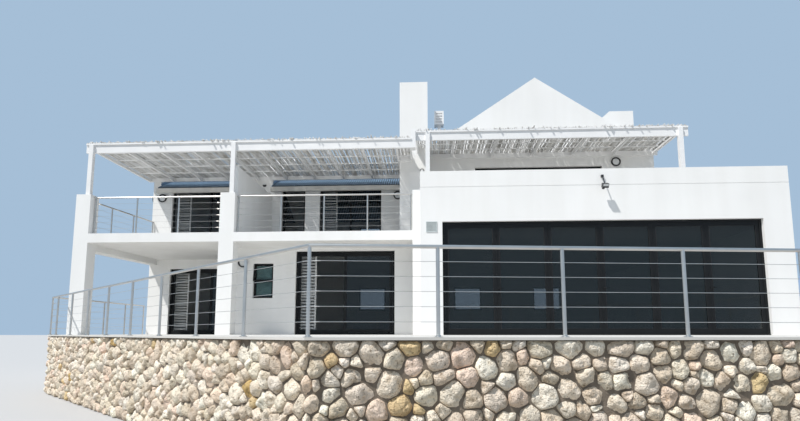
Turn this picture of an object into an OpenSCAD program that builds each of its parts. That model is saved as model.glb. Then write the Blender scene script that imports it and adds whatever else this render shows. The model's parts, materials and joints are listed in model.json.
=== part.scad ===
// Beach house on a stone-faced terrace: a two-storey wing with a balcony on the left and a lounge block
// with a roof terrace and a gabled upper storey on the right. Sizes are in millimetres. X runs along the
// front from left to right, Y runs into the house and Z is up. The origin lies on the underside of the
// plinth, below the point where the front line of the balcony piers meets the left face of the lounge.

/* [Levels] */
// Height of the terrace above the lowest ground
terrace_h = 1500; // [1200:50:1900]
// Thickness of the paved slab on the terrace
terrace_slab_t = 30; // [20:5:60]
// Height of the upper floor above the terrace
upper_floor_h = 2770; // [2740:10:2900]
// Thickness of the wing's floor and the balcony's slab
wing_slab_t = 255; // [240:5:300]
// Thickness of the slab over the lounge
lounge_slab_t = 170; // [150:5:200]
// Height of the lounge parapet above the terrace
parapet_h = 3860; // [3600:10:4100]
// Groove below the top of the lounge parapet
groove_drop = 380; // [300:10:420]
// Height of the groove
groove = 15; // [10:5:30]
// Depth of the groove
groove_depth = 10; // [5:5:20]
// Beam under the balcony's left edge, below the slab
edge_beam_drop = 180; // [150:5:220]
// Width of that beam at the wing's wall
edge_beam_w = 270; // [240:5:300]
// Height of the balcony piers above the terrace
pier_h = 3880; // [3700:10:4000]
// Height of the wing's eave above the terrace
eave_h = 4970; // [4920:10:5150]
// Height of the gable's apex above the terrace
gable_h = 8120; // [8000:10:8200]
// Height of the chimney above the terrace
chimney_h = 7770; // [7400:10:8000]

/* [Plan] */
// Wing, from the lounge's left face to the wing's left face
wing_w = 9270; // [9200:10:9400]
// Balcony, how far its left pier stands outside the wing's left face
balcony_out = 314; // [200:2:400]
// Patio, from the wing's left face to the left face of the middle pier
patio_w = 3771; // [3700:1:3900]
// Balcony depth, from the piers' front to the upper front wall
balcony_d = 3500; // [3300:10:3700]
// Setback of the ground floor room behind the piers' front
room_setback = 1200; // [1000:10:1400]
// Lounge, how far it stands in front of the piers
lounge_d = 1700; // [1500:10:1900]
// Width of the lounge block
lounge_w = 8430; // [8300:10:8600]
// Setback of the upper gable wall behind the piers' front
main_setback = 2300; // [2100:10:2400]
// Setback of the chimney behind the piers' front
chimney_setback = 1700; // [1600:10:1900]
// Left face of the upper storey, to the right of the lounge's left face
main_left = 200; // [150:10:400]
// Width of the upper storey
main_w = 6960; // [6800:10:7000]
// Depth of the house behind the piers' front
house_d = 10000; // [9000:50:11000]
// Thickness of the masonry walls
wall_t = 250; // [220:5:280]

/* [Plinth] */
// Bay of the terrace rail
rail_bay = 1390; // [1380:1:1400]
// Bays along the front
front_bays = 7; // [7:1:8]
// Turn of the front edge away from the house front, in degrees
front_turn = 6.6; // [6:0.1:8]
// Terrace corner, left of the origin
corner_x = 1100; // [1000:10:1200]
// Terrace corner, in front of the origin
corner_y = 8380; // [8300:10:8500]
// Plinth ledge beyond the left pier
side_ledge = 136; // [100:4:200]
// Plinth ledge beyond the back wall
back_ledge = 250; // [200:10:400]
// Where the slanted edge meets the side, in front of the origin
side_start = 415; // [380:5:450]
// Bay of the rail along the left side
side_bay = 1135; // [1050:5:1200]
// Bays along the left side
side_bays = 4; // [3:1:5]
// Plinth edge outside the line of the rail posts
rail_edge = 60; // [50:2:80]
// Thickness of the stone retaining walls
stone_t = 450; // [400:10:500]

/* [Roofs] */
// Pitch of the wing's roof, in degrees
wing_pitch = 28; // [25:0.5:30]
// Rise of the main roof for each unit of run
main_slope = 0.67; // [0.64:0.005:0.7]
// Apex of the gable, to the right of the lounge's left face
ridge_x = 3610; // [3500:10:3700]
// Thickness of the roofs, measured upright
roof_t = 140; // [120:5:180]
// Parapet of a gable wall above the roof
coping_h = 120; // [80:5:140]
// Parapets of the wing above its roof
parapet_rise = 275; // [250:5:320]
// Width of the parapet that divides the wing's roof
parapet_w = 800; // [300:50:900]
// Height of the gutter
gutter_h = 150; // [100:5:160]
// Depth of the gutter
gutter_d = 110; // [90:5:130]
// Edge of the roof that shows above the gutter
roof_edge = 45; // [30:5:60]
// Overhang of the roofs
roof_overhang = 200; // [150:10:250]

/* [Piers and chimney] */
// Width of a balcony pier
pier_w = 410; // [380:5:450]
// Depth of a balcony pier
pier_d = 380; // [350:5:420]
// Width of the right pier, which stands against the lounge
right_pier_w = 226; // [200:2:260]
// Width of the chimney
chimney_w = 860; // [800:10:900]
// Depth of the chimney
chimney_d = 860; // [700:10:1000]
// Thickness of the balcony dividing wall
divider_t = 200; // [180:5:220]
// Top of the balcony dividing wall below the eave
divider_drop = 300; // [220:10:370]

/* [Pergolas] */
// Right post of the right pergola, from that pergola's right end
right_post_inset = 220; // [150:10:300]
// Underside of the left pergola's beam above the eave
left_pergola_rise = 130; // [80:5:180]
// Setback of the left pergola's beam behind the piers' front
left_pergola_y = 100; // [80:10:150]
// Underside of the right pergola's beam above the left one's
right_pergola_rise = 265; // [200:5:350]
// Setback of the right pergola's beam behind the piers' front
right_pergola_y = 300; // [250:10:400]
// Right end of the right pergola beyond the upper storey's right face
right_pergola_over = 100; // [40:10:240]
// Depth of a front beam
beam_d = 270; // [250:5:300]
// Thickness of a beam and width of a rafter
beam_t = 60; // [50:2:80]
// Depth of a rafter
rafter_d = 90; // [80:5:110]
// Spacing of the left pergola's rafters
left_rafter_bay = 980; // [800:10:1200]
// Spacing of the right pergola's rafters
right_rafter_bay = 1235; // [1000:5:1300]
// Depth of the board that carries the poles at a wall
ledger_d = 145; // [100:5:160]
// Depth of the left pergola's back beam
back_beam_d = 125; // [100:5:140]
// Width and depth of a purlin
purlin = 32; // [24:2:60]
// Diameter of a pole
pole = 42; // [36:1:50]
// Spacing of the poles
pole_pitch = 75; // [65:1:90]
// Poles in front of a beam
pole_overhang = 250; // [150:10:300]
// Side of a square pergola post
post_side = 120; // [100:5:130]
// Height of the lip along the top of a front beam
lip_h = 40; // [30:5:50]
// Depth of the lip in front of the beam
lip_d = 30; // [20:5:40]
// Right end of the left pergola, from the lounge's left face
left_pergola_end = 260; // [240:10:300]
// Left end of the left pergola, inside the outer face of the left pier
left_pergola_inset = 120; // [60:10:140]

/* [Railings] */
// Height of the handrail above the floor
rail_h = 1005; // [980:5:1050]
// Height of the balcony handrail above its floor
balcony_rail_h = 1070; // [1000:10:1100]
// Diameter of the handrail
handrail = 43; // [40:1:50]
// Diameter of a post
rail_post = 42; // [38:1:50]
// Diameter of a cable
cable = 6; // [5:1:8]
// Number of cables
cables = 5; // [4:1:6]

/* [Doors and windows] */
// Lounge door, left side
folding_x = 520; // [500:10:560]
// Lounge door, width
folding_w = 7280; // [7200:10:7400]
// Lounge door, height
folding_h = 2640; // [2620:5:2680]
// Leaves of the folding door
folding_leaves = 6; // [5:1:7]
// Middle sliding door, left side, from the room's left face
middle_door_x = 1840; // [1800:10:1900]
// Wall between the middle sliding door and the lounge
middle_door_end = 780; // [700:10:900]
// Middle sliding door, height
middle_door_h = 2415; // [2350:5:2450]
// Patio sliding door, left side, from the wing's left face
patio_door_x = 730; // [700:10:760]
// Patio sliding door, width
patio_door_w = 2800; // [2700:10:2800]
// Patio sliding door, height
patio_door_h = 2200; // [2100:10:2300]
// Upper left door, left side, from the wing's left face
upper_left_x = 680; // [600:10:700]
// Upper left door, width
upper_left_w = 2650; // [2500:10:2700]
// Narrow upper window, left side, from the balcony's dividing wall
narrow_x = 330; // [250:10:400]
// Narrow upper window, width
narrow_w = 790; // [700:10:850]
// Upper right door, left side, from the narrow window
upper_right_gap = 500; // [400:10:600]
// Upper right door, width
upper_right_w = 2090; // [2000:10:2200]
// Wall between the head of an upper door and the eave
upper_door_drop = 60; // [50:5:150]
// Gable door, left side, from the left face of the upper storey
gable_door_x = 1475; // [1400:5:1550]
// Gable door, width
gable_door_w = 3910; // [3800:10:4000]
// Gable door, height
gable_door_h = 2420; // [2350:10:2450]
// Small window, left side, from the room's left face
small_x = 590; // [550:10:650]
// Small window, width
small_w = 590; // [550:10:620]
// Small window, height
small_h = 1010; // [900:10:1100]
// Sill of the small windows above the floor
sill_h = 1050; // [950:10:1100]
// Width of the plain windows on the unseen sides
plain_w = 1200; // [900:10:1500]
// Width of a frame member
frame_w = 60; // [50:2:70]
// Depth of a frame member
frame_d = 60; // [50:2:70]
// Depth from the wall's face to a frame
reveal = 90; // [70:5:110]
// Width of a door leaf's members
leaf_w = 75; // [65:1:85]
// Thickness of a door leaf
leaf_t = 40; // [35:1:45]
// Thickness of the glass
glass_t = 10; // [8:1:16]
// Opening angle of the top-hung sash, in degrees
sash_open = 10; // [5:1:20]
// Width of a louvre shutter
shutter_w = 500; // [400:10:900]
// Thickness of a louvre shutter
shutter_t = 35; // [30:1:40]
// Width of a shutter's stiles
shutter_stile = 50; // [40:5:60]
// Spacing of the louvres
slat_pitch = 90; // [70:5:110]

/* [Roof fittings] */
// Flue block, left side, from the left face of the upper storey
flue_x = 5505; // [5400:5:5600]
// Flue block, width
flue_w = 1010; // [950:10:1050]
// Flue block, depth
flue_d = 700; // [600:10:800]
// Top of the flue block above the terrace
flue_h = 7050; // [7000:10:7150]
// Width of the flue block's sloping shoulder
flue_shoulder = 270; // [200:10:350]
// Drop of the flue block's sloping shoulder
flue_drop = 240; // [200:10:280]
// Roof vent, centre, from the left face of the upper storey
vent_x = 375; // [300:5:450]
// Roof vent, centre, behind the gable wall's face
vent_y = 600; // [500:10:900]
// Top of the roof vent above the terrace
vent_h = 7270; // [7200:10:7300]
// Height of the vent's head
vent_head = 455; // [400:5:500]
// Width of the vent's head
vent_w = 305; // [280:5:330]
// Diameter of the vent's pipe
vent_pipe = 110; // [90:5:130]
// Slots around the vent's head
vent_slots = 4; // [3:1:5]

/* [Wall fittings] */
// Diameter of a round wall lamp
lamp_w = 290; // [260:10:320]
// Depth of a round wall lamp
lamp_d = 60; // [50:5:80]
// Width of a lamp's rim
lamp_rim = 38; // [30:2:44]
// Diameter of a small lamp
small_lamp_w = 130; // [100:10:160]
// Lamp beside the wing's left corner, from that corner
corner_lamp_x = 340; // [300:10:360]
// Lamp on the wing's side, behind its front face
side_lamp_y = 190; // [170:10:400]
// Lamp on the wing's front, from the chimney
chimney_side_lamp = 160; // [150:5:300]
// Upper lamps below the head of an upper door
upper_lamp_drop = 260; // [200:10:340]
// Room lamp, from the room's left face
room_lamp_x = 284; // [200:2:300]
// Room lamp above the terrace
room_lamp_h = 2090; // [2000:10:2150]
// Gable lamp, from the right side of the gable door
gable_lamp_x = 415; // [350:5:500]
// Gable lamp below the underside of the right pergola's beam
gable_lamp_drop = 65; // [0:5:150]
// Chimney lamp, from the chimney's right face
chimney_lamp_x = 180; // [100:10:300]
// Chimney lamp below the underside of the left pergola's beam
chimney_lamp_drop = 170; // [130:10:330]
// Parapet lamp, from the parapet's right face
parapet_lamp_x = 295; // [200:5:400]
// Parapet lamp above the eave
parapet_lamp_h = 100; // [60:10:130]
// Wall box of the floodlight, from the left side of the folding door
flood_x = 3720; // [3600:10:3800]
// Wall box of the floodlight above the folding door
flood_h = 1030; // [950:5:1060]
// Width of the wall box
flood_box = 54; // [50:2:60]
// Width of the floodlight's head
flood_w = 135; // [120:5:150]
// Depth of the head
flood_d = 110; // [90:5:130]
// Height of the head
flood_t = 100; // [80:5:120]
// Head, from the wall to its middle
flood_out = 200; // [180:5:220]
// Head, from the wall box down to its middle
flood_drop = 270; // [240:5:300]
// Downward tilt of the head, in degrees
flood_tilt = 25; // [10:5:40]
// Diameter of the sensor under the head
sensor_w = 62; // [50:2:70]
// Vent grille, from the lounge's left face
grille_x = 140; // [120:5:200]
// Width of the vent grille
grille_w = 260; // [220:5:280]
// Height of the vent grille
grille_h = 250; // [200:5:280]
// Depth of the vent grille
grille_d = 15; // [10:1:25]

/* [Clearances] */
// Gap around a leaf that moves
leaf_gap = 5; // [5:1:8]
// Gap between a roller and its track, and at the ends of cables
roller_gap = 0.3; // [0.2:0.1:0.5]
// Gap at slanted joints between walls, roofs and what stands on them
seam = 0.3; // [0.2:0.1:0.5]

/* [Hidden] */
$fn = 48;
cut = 10;
floor_z = terrace_h;
slab_z = floor_z + upper_floor_h;
wing_slab_z = slab_z - wing_slab_t;
lounge_slab_z = slab_z - lounge_slab_t;
parapet_z = floor_z + parapet_h;
eave_z = floor_z + eave_h;
upper_door_h = eave_h - upper_floor_h - upper_door_drop;
divider_h = eave_h - divider_drop;
apex_z = floor_z + gable_h;
balcony_w = wing_w + balcony_out;
main_right = main_left + main_w;
right_pergola_end = main_right + right_pergola_over;
chimney_left = main_left - chimney_w;
inner_back = house_d - wall_t;
wing_ridge_y = (balcony_d + house_d) / 2;
room_back = room_setback + wall_t;
room_left = -wing_w + patio_w;
fold_front = -lounge_d;

// Line of the rail posts and the sides of the plinth, counter-clockwise from the front corner
plan = [
    [-corner_x, -corner_y],
    [-corner_x, -corner_y] + front_bays * rail_bay * [cos(front_turn), sin(front_turn)],
    [-corner_x + front_bays * rail_bay * cos(front_turn), house_d + back_ledge],
    [-balcony_w - side_ledge, house_d + back_ledge],
    [-balcony_w - side_ledge, -side_start]
];
function unit(v) = v / norm(v);
function inward(a, b) = let (d = unit(b - a)) [-d.y, d.x];
function inset(p, d) = [
    for (i = [0 : len(p) - 1])
        let (
            m = inward(p[(i + len(p) - 1) % len(p)], p[i]),
            n = inward(p[i], p[(i + 1) % len(p)])
        )
        p[i] + d * (m + n) / (1 + m * n)
];
outer = inset(plan, -rail_edge);
inner = inset(outer, stone_t);

// Box between two corners
module block(low, high) {
    translate(low) cube(high - low);
}

// Prism along Y with its outline in X and Z
module prism_y(y0, y1, points) {
    translate([0, y1, 0]) rotate([90, 0, 0]) linear_extrude(y1 - y0) polygon(points);
}

// Prism along X with its outline in Y and Z
module prism_x(x0, x1, points) {
    translate([x0, 0, 0]) rotate([90, 0, 90]) linear_extrude(x1 - x0) polygon(points);
}

// Frame around an opening, with its outline in X and Z
module ring(x, z, w, h, member, y, depth) {
    difference() {
        block([x, y, z], [x + w, y + depth, z + h]);
        block([x + member, y - cut, z + member], [x + w - member, y + depth + cut, z + h - member]);
    }
}

// Glass that fills a ring
module pane(x, z, w, h, member, y, depth) {
    mid = y + depth / 2;
    block([x + member, mid - glass_t / 2, z + member],
        [x + w - member, mid + glass_t / 2, z + h - member]);
}

// Height of the wing roof's upper face at a depth y
function wing_top(y) =
    eave_z + (wing_ridge_y - balcony_d + roof_overhang - abs(y - wing_ridge_y)) * tan(wing_pitch);
function wing_under(y) = wing_top(y) - roof_t;
// Height of the gable walls and of the main roof's upper face at a place x
function rake(x) = apex_z - main_slope * abs(x - ridge_x);
function main_top(x) = rake(x) - coping_h;
function main_under(x) = main_top(x) - roof_t;

// Plinth

module stone_wall(i) {
    j = (i + 1) % len(outer);
    color("tan") linear_extrude(terrace_h - terrace_slab_t)
        polygon([outer[i], outer[j], inner[j], inner[i]]);
}

module terrace_fill() {
    color("gray") linear_extrude(terrace_h - terrace_slab_t) polygon(inner);
}

module terrace_slab() {
    color("gainsboro") translate([0, 0, terrace_h - terrace_slab_t])
        linear_extrude(terrace_slab_t) polygon(outer);
}

// Railings

// Space beyond a mitre, from the handrail's underside up
module mitre_cut(height) {
    side = 4 * handrail;
    block([-side, -side, height - handrail - seam], [seam / 2, side, height + seam]);
}

// Straight run along +X with posts at the given distances and cables between two places. Where the rail turns
// into another run, the handrail and the top of the post there are cut for a mitre
module rail_run(length, posts, height, from, to, turn_a = 0, turn_b = 0) {
    gap = (height - handrail / 2) / (cables + 1);
    bar_a = turn_a == 0 ? 0 : -handrail;
    bar_b = turn_b == 0 ? length : length + handrail;
    color("silver") difference() {
        union() {
            translate([bar_a, 0, height - handrail / 2]) rotate([0, 90, 0])
                cylinder(h = bar_b - bar_a, d = handrail);
            for (x = posts)
                translate([x, 0, 0]) cylinder(h = height - handrail / 2, d = rail_post);
            for (k = [1 : cables])
                translate([from, 0, k * gap]) rotate([0, 90, 0])
                    cylinder(h = to - from, d = cable, $fn = 6);
        }
        if (turn_a != 0) rotate([0, 0, -turn_a / 2]) mitre_cut(height);
        if (turn_b != 0) translate([length, 0, 0]) rotate([0, 0, 180 + turn_b / 2]) mitre_cut(height);
    }
}

function bearing(a, b) = atan2(b.y - a.y, b.x - a.x);
corner_turn = bearing(plan[0], plan[1]) - bearing(plan[4], plan[0]);
right_turn = bearing(plan[1], plan[2]) - bearing(plan[0], plan[1]);
side_turn = bearing(plan[4], plan[3]) - bearing(plan[0], plan[4]);
// From the axis of a post that is another run's to the end of a cable
post_gap = rail_post / 2 + roller_gap;

// Run of the terrace rail on a bearing from a point of the plan, with even bays that start at its first post;
// skip is 1 where that post is another run's
module plan_rail(a, turn, length, bays, skip, turn_a, turn_b = 0) {
    translate([a.x, a.y, floor_z]) rotate([0, 0, turn])
        rail_run(turn_b == 0 ? length + handrail / 2 : length, [for (i = [skip : bays]) i * length / bays],
            rail_h, skip * post_gap, length, turn_a, turn_b);
}

right_rail_end = [plan[1].x, -lounge_d - rail_edge];
right_bays = round(norm(right_rail_end - plan[1]) / rail_bay);

module terrace_rail_front() {
    plan_rail(plan[0], bearing(plan[0], plan[1]), front_bays * rail_bay, front_bays, 0, corner_turn,
        right_turn);
}

// Run along the slanted left edge, up to the corner post of the side run
module terrace_rail_left() {
    length = norm(plan[4] - plan[0]);
    translate([plan[0].x, plan[0].y, floor_z]) rotate([0, 0, bearing(plan[0], plan[4])])
        rail_run(length, [for (x = [rail_bay : rail_bay : length - rail_bay / 4]) x], rail_h, post_gap, length - post_gap,
            -corner_turn, side_turn);
}

module terrace_rail_side() {
    plan_rail(plan[4], bearing(plan[4], plan[3]), side_bays * side_bay, side_bays, 0, side_turn);
}

module terrace_rail_right() {
    plan_rail(plan[1], bearing(plan[1], plan[2]), norm(right_rail_end - plan[1]), right_bays, 1,
        right_turn);
}

// Run between two faces, with a post beside each face
module bay_rail(span, bays) {
    inset_x = rail_post;
    rail_run(span, [for (i = [0 : bays]) inset_x + i * (span - 2 * inset_x) / bays], balcony_rail_h, 0,
        span - inset_x);
}

// Rails of the balcony: two bays between the piers, and one from the left pier to the corner of the wing
module balcony_rails() {
    left_from = -balcony_w + pier_w;
    right_from = room_left + pier_w;
    side_from = [rail_edge - balcony_w, pier_d];
    side_to = [rail_edge - wing_w, balcony_d];
    end_gap = handrail / 8;
    bays = [3, 4, 3];
    translate([left_from, pier_d / 2, slab_z]) bay_rail(room_left - left_from, bays[0]);
    translate([right_from, pier_d / 2, slab_z]) bay_rail(-right_pier_w - right_from, bays[1]);
    translate([side_from.x, side_from.y, slab_z]) rotate([0, 0, bearing(side_from, side_to)])
        translate([end_gap, 0, 0]) bay_rail(norm(side_to - side_from) - 2 * end_gap, bays[2]);
}

// Left wing

module pier(x, w) {
    block([x, 0, floor_z], [x + w, pier_d, floor_z + pier_h]);
}

module balcony_piers() {
    color("white") {
        pier(-balcony_w, pier_w);
        pier(room_left, pier_w);
        pier(-right_pier_w, right_pier_w);
    }
}

// Slab between the piers, its left edge slanted from the left pier to the corner of the wing, with a beam under
// that edge
module balcony_slab() {
    color("white") difference() {
        union() {
            translate([0, 0, wing_slab_z]) linear_extrude(wing_slab_t)
                polygon([
                    [-balcony_w, 0],
                    [0, 0],
                    [0, balcony_d],
                    [-wing_w, balcony_d],
                    [-balcony_w, pier_d]
                ]);
            translate([0, 0, wing_slab_z - edge_beam_drop]) linear_extrude(edge_beam_drop + wing_slab_t)
                polygon([
                    [-balcony_w, pier_d],
                    [-balcony_w + pier_w, pier_d],
                    [-wing_w + edge_beam_w, balcony_d],
                    [-wing_w, balcony_d]
                ]);
        }
        for (p = [[-balcony_w, pier_w], [room_left, pier_w], [-right_pier_w, right_pier_w]])
            block([p[0], -cut, wing_slab_z - cut], [p[0] + p[1], pier_d, slab_z + cut]);
    }
}

// Wall between the two halves of the balcony, and the parapet that divides the roof behind it
divider_x = room_left + pier_w - divider_t;
divider_right = divider_x + divider_t;
parapet_x = divider_right - parapet_w;
roof_front = balcony_d - roof_overhang;
roof_back = house_d + roof_overhang;

// Upper outline of a wing parapet from back to front, with a seat for the left pergola's back beam
function parapet_top() = [
    [house_d, wing_top(house_d) + parapet_rise],
    [wing_ridge_y, wing_top(wing_ridge_y) + parapet_rise],
    [balcony_d + beam_t, wing_top(balcony_d + beam_t) + parapet_rise],
    [balcony_d + beam_t, back_beam_z],
    [balcony_d, back_beam_z]
];

module dividing_walls() {
    color("white") {
        block([divider_x, pier_d, slab_z], [divider_right, balcony_d, floor_z + divider_h]);
        block([divider_x, left_pergola_y + beam_t, floor_z + pier_h],
            [divider_right, pier_d, floor_z + divider_h]);
        prism_x(parapet_x, divider_right, concat([
            [balcony_d, wing_under(balcony_d)],
            [wing_ridge_y, wing_under(wing_ridge_y)],
            [house_d, wing_under(house_d)]
        ], parapet_top()));
    }
}

module wing_floor() {
    color("white") block([-wing_w, balcony_d, wing_slab_z], [0, house_d, slab_z]);
}

// Plain window of the unseen sides, as a box cut through a wall that faces Y
module plain_cut(x, z, y0, y1) {
    block([x, y0 - cut, z], [x + plain_w, y1 + cut, z + small_h]);
}

wing_windows = [-wing_w * 3 / 4 - plain_w / 2, -wing_w / 4 - plain_w / 2];
main_windows = [main_left + main_w / 4 - plain_w / 2, main_left + main_w * 3 / 4 - plain_w / 2];
storeys = [floor_z + sill_h, slab_z + sill_h];

// Outer side wall with its parapet gable, in two storeys with the floor between them
module wing_side_wall() {
    color("white") {
        block([-wing_w, balcony_d + wall_t, floor_z], [-wing_w + wall_t, inner_back, wing_slab_z]);
        prism_x(-wing_w, -wing_w + wall_t, concat([
            [balcony_d, slab_z],
            [house_d, slab_z]
        ], parapet_top()));
    }
}

module wing_back_wall() {
    color("white") difference() {
        union() {
            block([-wing_w, inner_back, floor_z], [0, house_d, wing_slab_z]);
            prism_x(-wing_w + wall_t, main_left, [
                [inner_back, slab_z],
                [house_d, slab_z],
                [house_d, wing_under(house_d) - seam],
                [inner_back, wing_under(inner_back) - seam]
            ]);
        }
        for (x = wing_windows)
            for (z = storeys)
                plain_cut(x, z, inner_back, house_d);
    }
}

// Left sides of the doors and windows of the wing
patio_left = -wing_w + patio_door_x;
middle_left = room_left + middle_door_x;
small_left = room_left + small_x;
upper_left = -wing_w + upper_left_x;
narrow_left = divider_right + narrow_x;
upper_right = narrow_left + narrow_w + upper_right_gap;

module patio_wall_sides() {
    color("white") {
        block([-wing_w, balcony_d, floor_z], [patio_left, balcony_d + wall_t, wing_slab_z]);
        block([patio_left + patio_door_w, balcony_d, floor_z],
            [room_left + wall_t, balcony_d + wall_t, wing_slab_z]);
    }
}

module patio_wall_lintel() {
    color("white") block([patio_left, balcony_d, floor_z + patio_door_h],
        [patio_left + patio_door_w, balcony_d + wall_t, wing_slab_z]);
}

module room_side_wall() {
    color("white") block([room_left, room_back, floor_z], [room_left + wall_t, balcony_d, wing_slab_z]);
}

// Front of the ground floor room: left part with the small window, lintel over the door, and pier right of it
module room_front_wall() {
    color("white") {
        difference() {
            block([room_left, room_setback, floor_z], [middle_left, room_back, wing_slab_z]);
            block([small_left, room_setback - cut, floor_z + sill_h],
                [small_left + small_w, room_back + cut, floor_z + sill_h + small_h]);
        }
        block([middle_left, room_setback, floor_z + middle_door_h],
            [-middle_door_end, room_back, wing_slab_z]);
        block([-middle_door_end, room_setback, floor_z], [0, room_back, wing_slab_z]);
    }
}

module upper_front_wall() {
    back = balcony_d + wall_t;
    color("white") difference() {
        prism_x(-wing_w + wall_t, main_left, [
            [balcony_d, slab_z],
            [back, slab_z],
            [back, wing_under(back) - seam],
            [balcony_d, wing_under(balcony_d) - seam]
        ]);
        for (d = [[upper_left, upper_left_w], [upper_right, upper_right_w], [narrow_left, narrow_w]])
            block([d[0], balcony_d - cut, slab_z - cut], [d[0] + d[1], back + cut, slab_z + upper_door_h]);
    }
}

// Roof of the wing, cut by the dividing parapet and where it meets the roof of the main volume
module wing_roof() {
    color("dimgray") difference() {
        prism_x(-wing_w + wall_t, ridge_x, [
            [roof_front, wing_under(roof_front)],
            [wing_ridge_y, wing_under(wing_ridge_y)],
            [roof_back, wing_under(roof_back)],
            [roof_back, wing_top(roof_back)],
            [wing_ridge_y, wing_top(wing_ridge_y)],
            [roof_front, wing_top(roof_front)]
        ]);
        prism_y(roof_front - cut, roof_back + cut, [
            [main_left, 0],
            [ridge_x + cut, 0],
            [ridge_x + cut, main_top(ridge_x) + seam],
            [ridge_x, main_top(ridge_x) + seam],
            [main_left, main_top(main_left) + seam]
        ]);
        block([parapet_x, roof_front - cut, slab_z], [divider_right, roof_back + cut, apex_z]);
    }
}

// Gutter along the wing's front eave, in two lengths beside the dividing parapet
gutter_t = 4;
module eave_gutter() {
    top = eave_z - roof_edge;
    for (span = [[-wing_w + wall_t, parapet_x], [divider_right, main_left]])
        color("silver") difference() {
            block([span[0], roof_front - gutter_d, top - gutter_h], [span[1], roof_front, top]);
            block([span[0] + gutter_t, roof_front - gutter_d + gutter_t, top - gutter_h + gutter_t],
                [span[1] - gutter_t, roof_front - gutter_t, top + cut]);
        }
}

// Lounge block and the storey above it

module lounge_front_sides() {
    color("white") {
        block([0, fold_front, floor_z], [folding_x, fold_front + wall_t, floor_z + folding_h]);
        block([folding_x + folding_w, fold_front, floor_z],
            [lounge_w, fold_front + wall_t, floor_z + folding_h]);
    }
}

module lounge_parapet() {
    z = parapet_z - groove_drop;
    color("white") difference() {
        block([0, fold_front, floor_z + folding_h], [lounge_w, fold_front + wall_t, parapet_z]);
        block([-cut, fold_front - cut, z - groove], [lounge_w + cut, fold_front + groove_depth, z]);
    }
}

module lounge_left_wall() {
    color("white") block([0, fold_front + wall_t, floor_z], [wall_t, chimney_setback, parapet_z]);
}

module lounge_right_wall() {
    color("white") {
        block([lounge_w - wall_t, fold_front + wall_t, floor_z], [lounge_w, house_d, parapet_z]);
    }
}

// Slab over the lounge: roof terrace in front and on the right, floor of the upper storey behind
module lounge_slab() {
    right = lounge_w - wall_t;
    color("gainsboro") translate([0, 0, lounge_slab_z]) linear_extrude(lounge_slab_t)
        polygon([
            [wall_t, fold_front + wall_t],
            [right, fold_front + wall_t],
            [right, house_d],
            [0, house_d],
            [0, chimney_setback],
            [wall_t, chimney_setback]
        ]);
}

module gable(y) {
    prism_y(y, y + wall_t, [
        [main_left, slab_z],
        [main_right, slab_z],
        [main_right, rake(main_right)],
        [ridge_x, apex_z],
        [main_left, rake(main_left)]
    ]);
}

gable_left = main_left + gable_door_x;
module gable_wall() {
    color("white") difference() {
        gable(main_setback);
        block([gable_left, main_setback - cut, slab_z - cut],
            [gable_left + gable_door_w, main_setback + wall_t + cut, slab_z + gable_door_h]);
    }
}

// Side wall of the upper storey, its top cut to the roof's slope
module main_side_wall(x) {
    prism_y(main_setback + wall_t, inner_back, [
        [x, slab_z],
        [x + wall_t, slab_z],
        [x + wall_t, main_under(x + wall_t) - seam],
        [x, main_under(x) - seam]
    ]);
}

module main_side_walls() {
    color("white") {
        main_side_wall(main_left);
        main_side_wall(main_right - wall_t);
    }
}

module main_back_wall() {
    color("white") difference() {
        union() {
            block([0, inner_back, floor_z], [lounge_w - wall_t, house_d, lounge_slab_z]);
            gable(inner_back);
            block([main_right, inner_back, slab_z], [lounge_w - wall_t, house_d, parapet_z]);
        }
        for (x = main_windows)
            for (z = storeys)
                plain_cut(x, z, inner_back, house_d);
    }
}

module main_roof() {
    right = main_right + roof_overhang / 2;
    color("dimgray") prism_y(main_setback + wall_t, inner_back, [
        [main_left, main_under(main_left)],
        [ridge_x, main_under(ridge_x)],
        [right, main_under(right)],
        [right, main_top(right)],
        [ridge_x, main_top(ridge_x)],
        [main_left, main_top(main_left)]
    ]);
}

// Chimney beside the gable, standing on the upper floor
module chimney_body() {
    block([chimney_left, chimney_setback, slab_z],
        [main_left, chimney_setback + chimney_d, floor_z + chimney_h]);
}

module chimney() {
    color("white") chimney_body();
}

// Flue block on the right slope with a sloping left shoulder
module flue_block() {
    left = main_left + flue_x;
    right = left + flue_w;
    top = floor_z + flue_h;
    color("white") prism_y(main_setback + wall_t, main_setback + wall_t + flue_d, [
        [left, main_top(left) + seam],
        [right, main_top(right) + seam],
        [right, top],
        [left + flue_shoulder, top],
        [left, top - flue_drop]
    ]);
}

// Vent with a square head, slotted all round between its corner posts, on a pipe cut to the roof's slope
module roof_vent() {
    x = main_left + vent_x;
    base = floor_z + vent_h - vent_head;
    corner = vent_w / 6;
    pitch = vent_head / (vent_slots + 1);
    color("white") translate([x, main_setback + vent_y, 0]) {
        difference() {
            translate([0, 0, main_under(x)]) cylinder(h = base - main_under(x), d = vent_pipe);
            prism_y(-vent_pipe, vent_pipe, [
                [-vent_pipe, 0],
                [vent_pipe, 0],
                [vent_pipe, main_top(x + vent_pipe) + seam],
                [-vent_pipe, main_top(x - vent_pipe) + seam]
            ]);
        }
        translate([0, 0, base]) difference() {
            translate([-vent_w / 2, -vent_w / 2, 0]) cube([vent_w, vent_w, vent_head]);
            for (k = [1 : vent_slots])
                for (turn = [0 : 90 : 270])
                    rotate([0, 0, turn])
                        translate([corner - vent_w / 2, vent_w / 2 - corner, k * pitch - pitch / 4])
                            cube([vent_w - 2 * corner, 2 * corner, pitch / 2]);
        }
    }
}

// Pergolas

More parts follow.
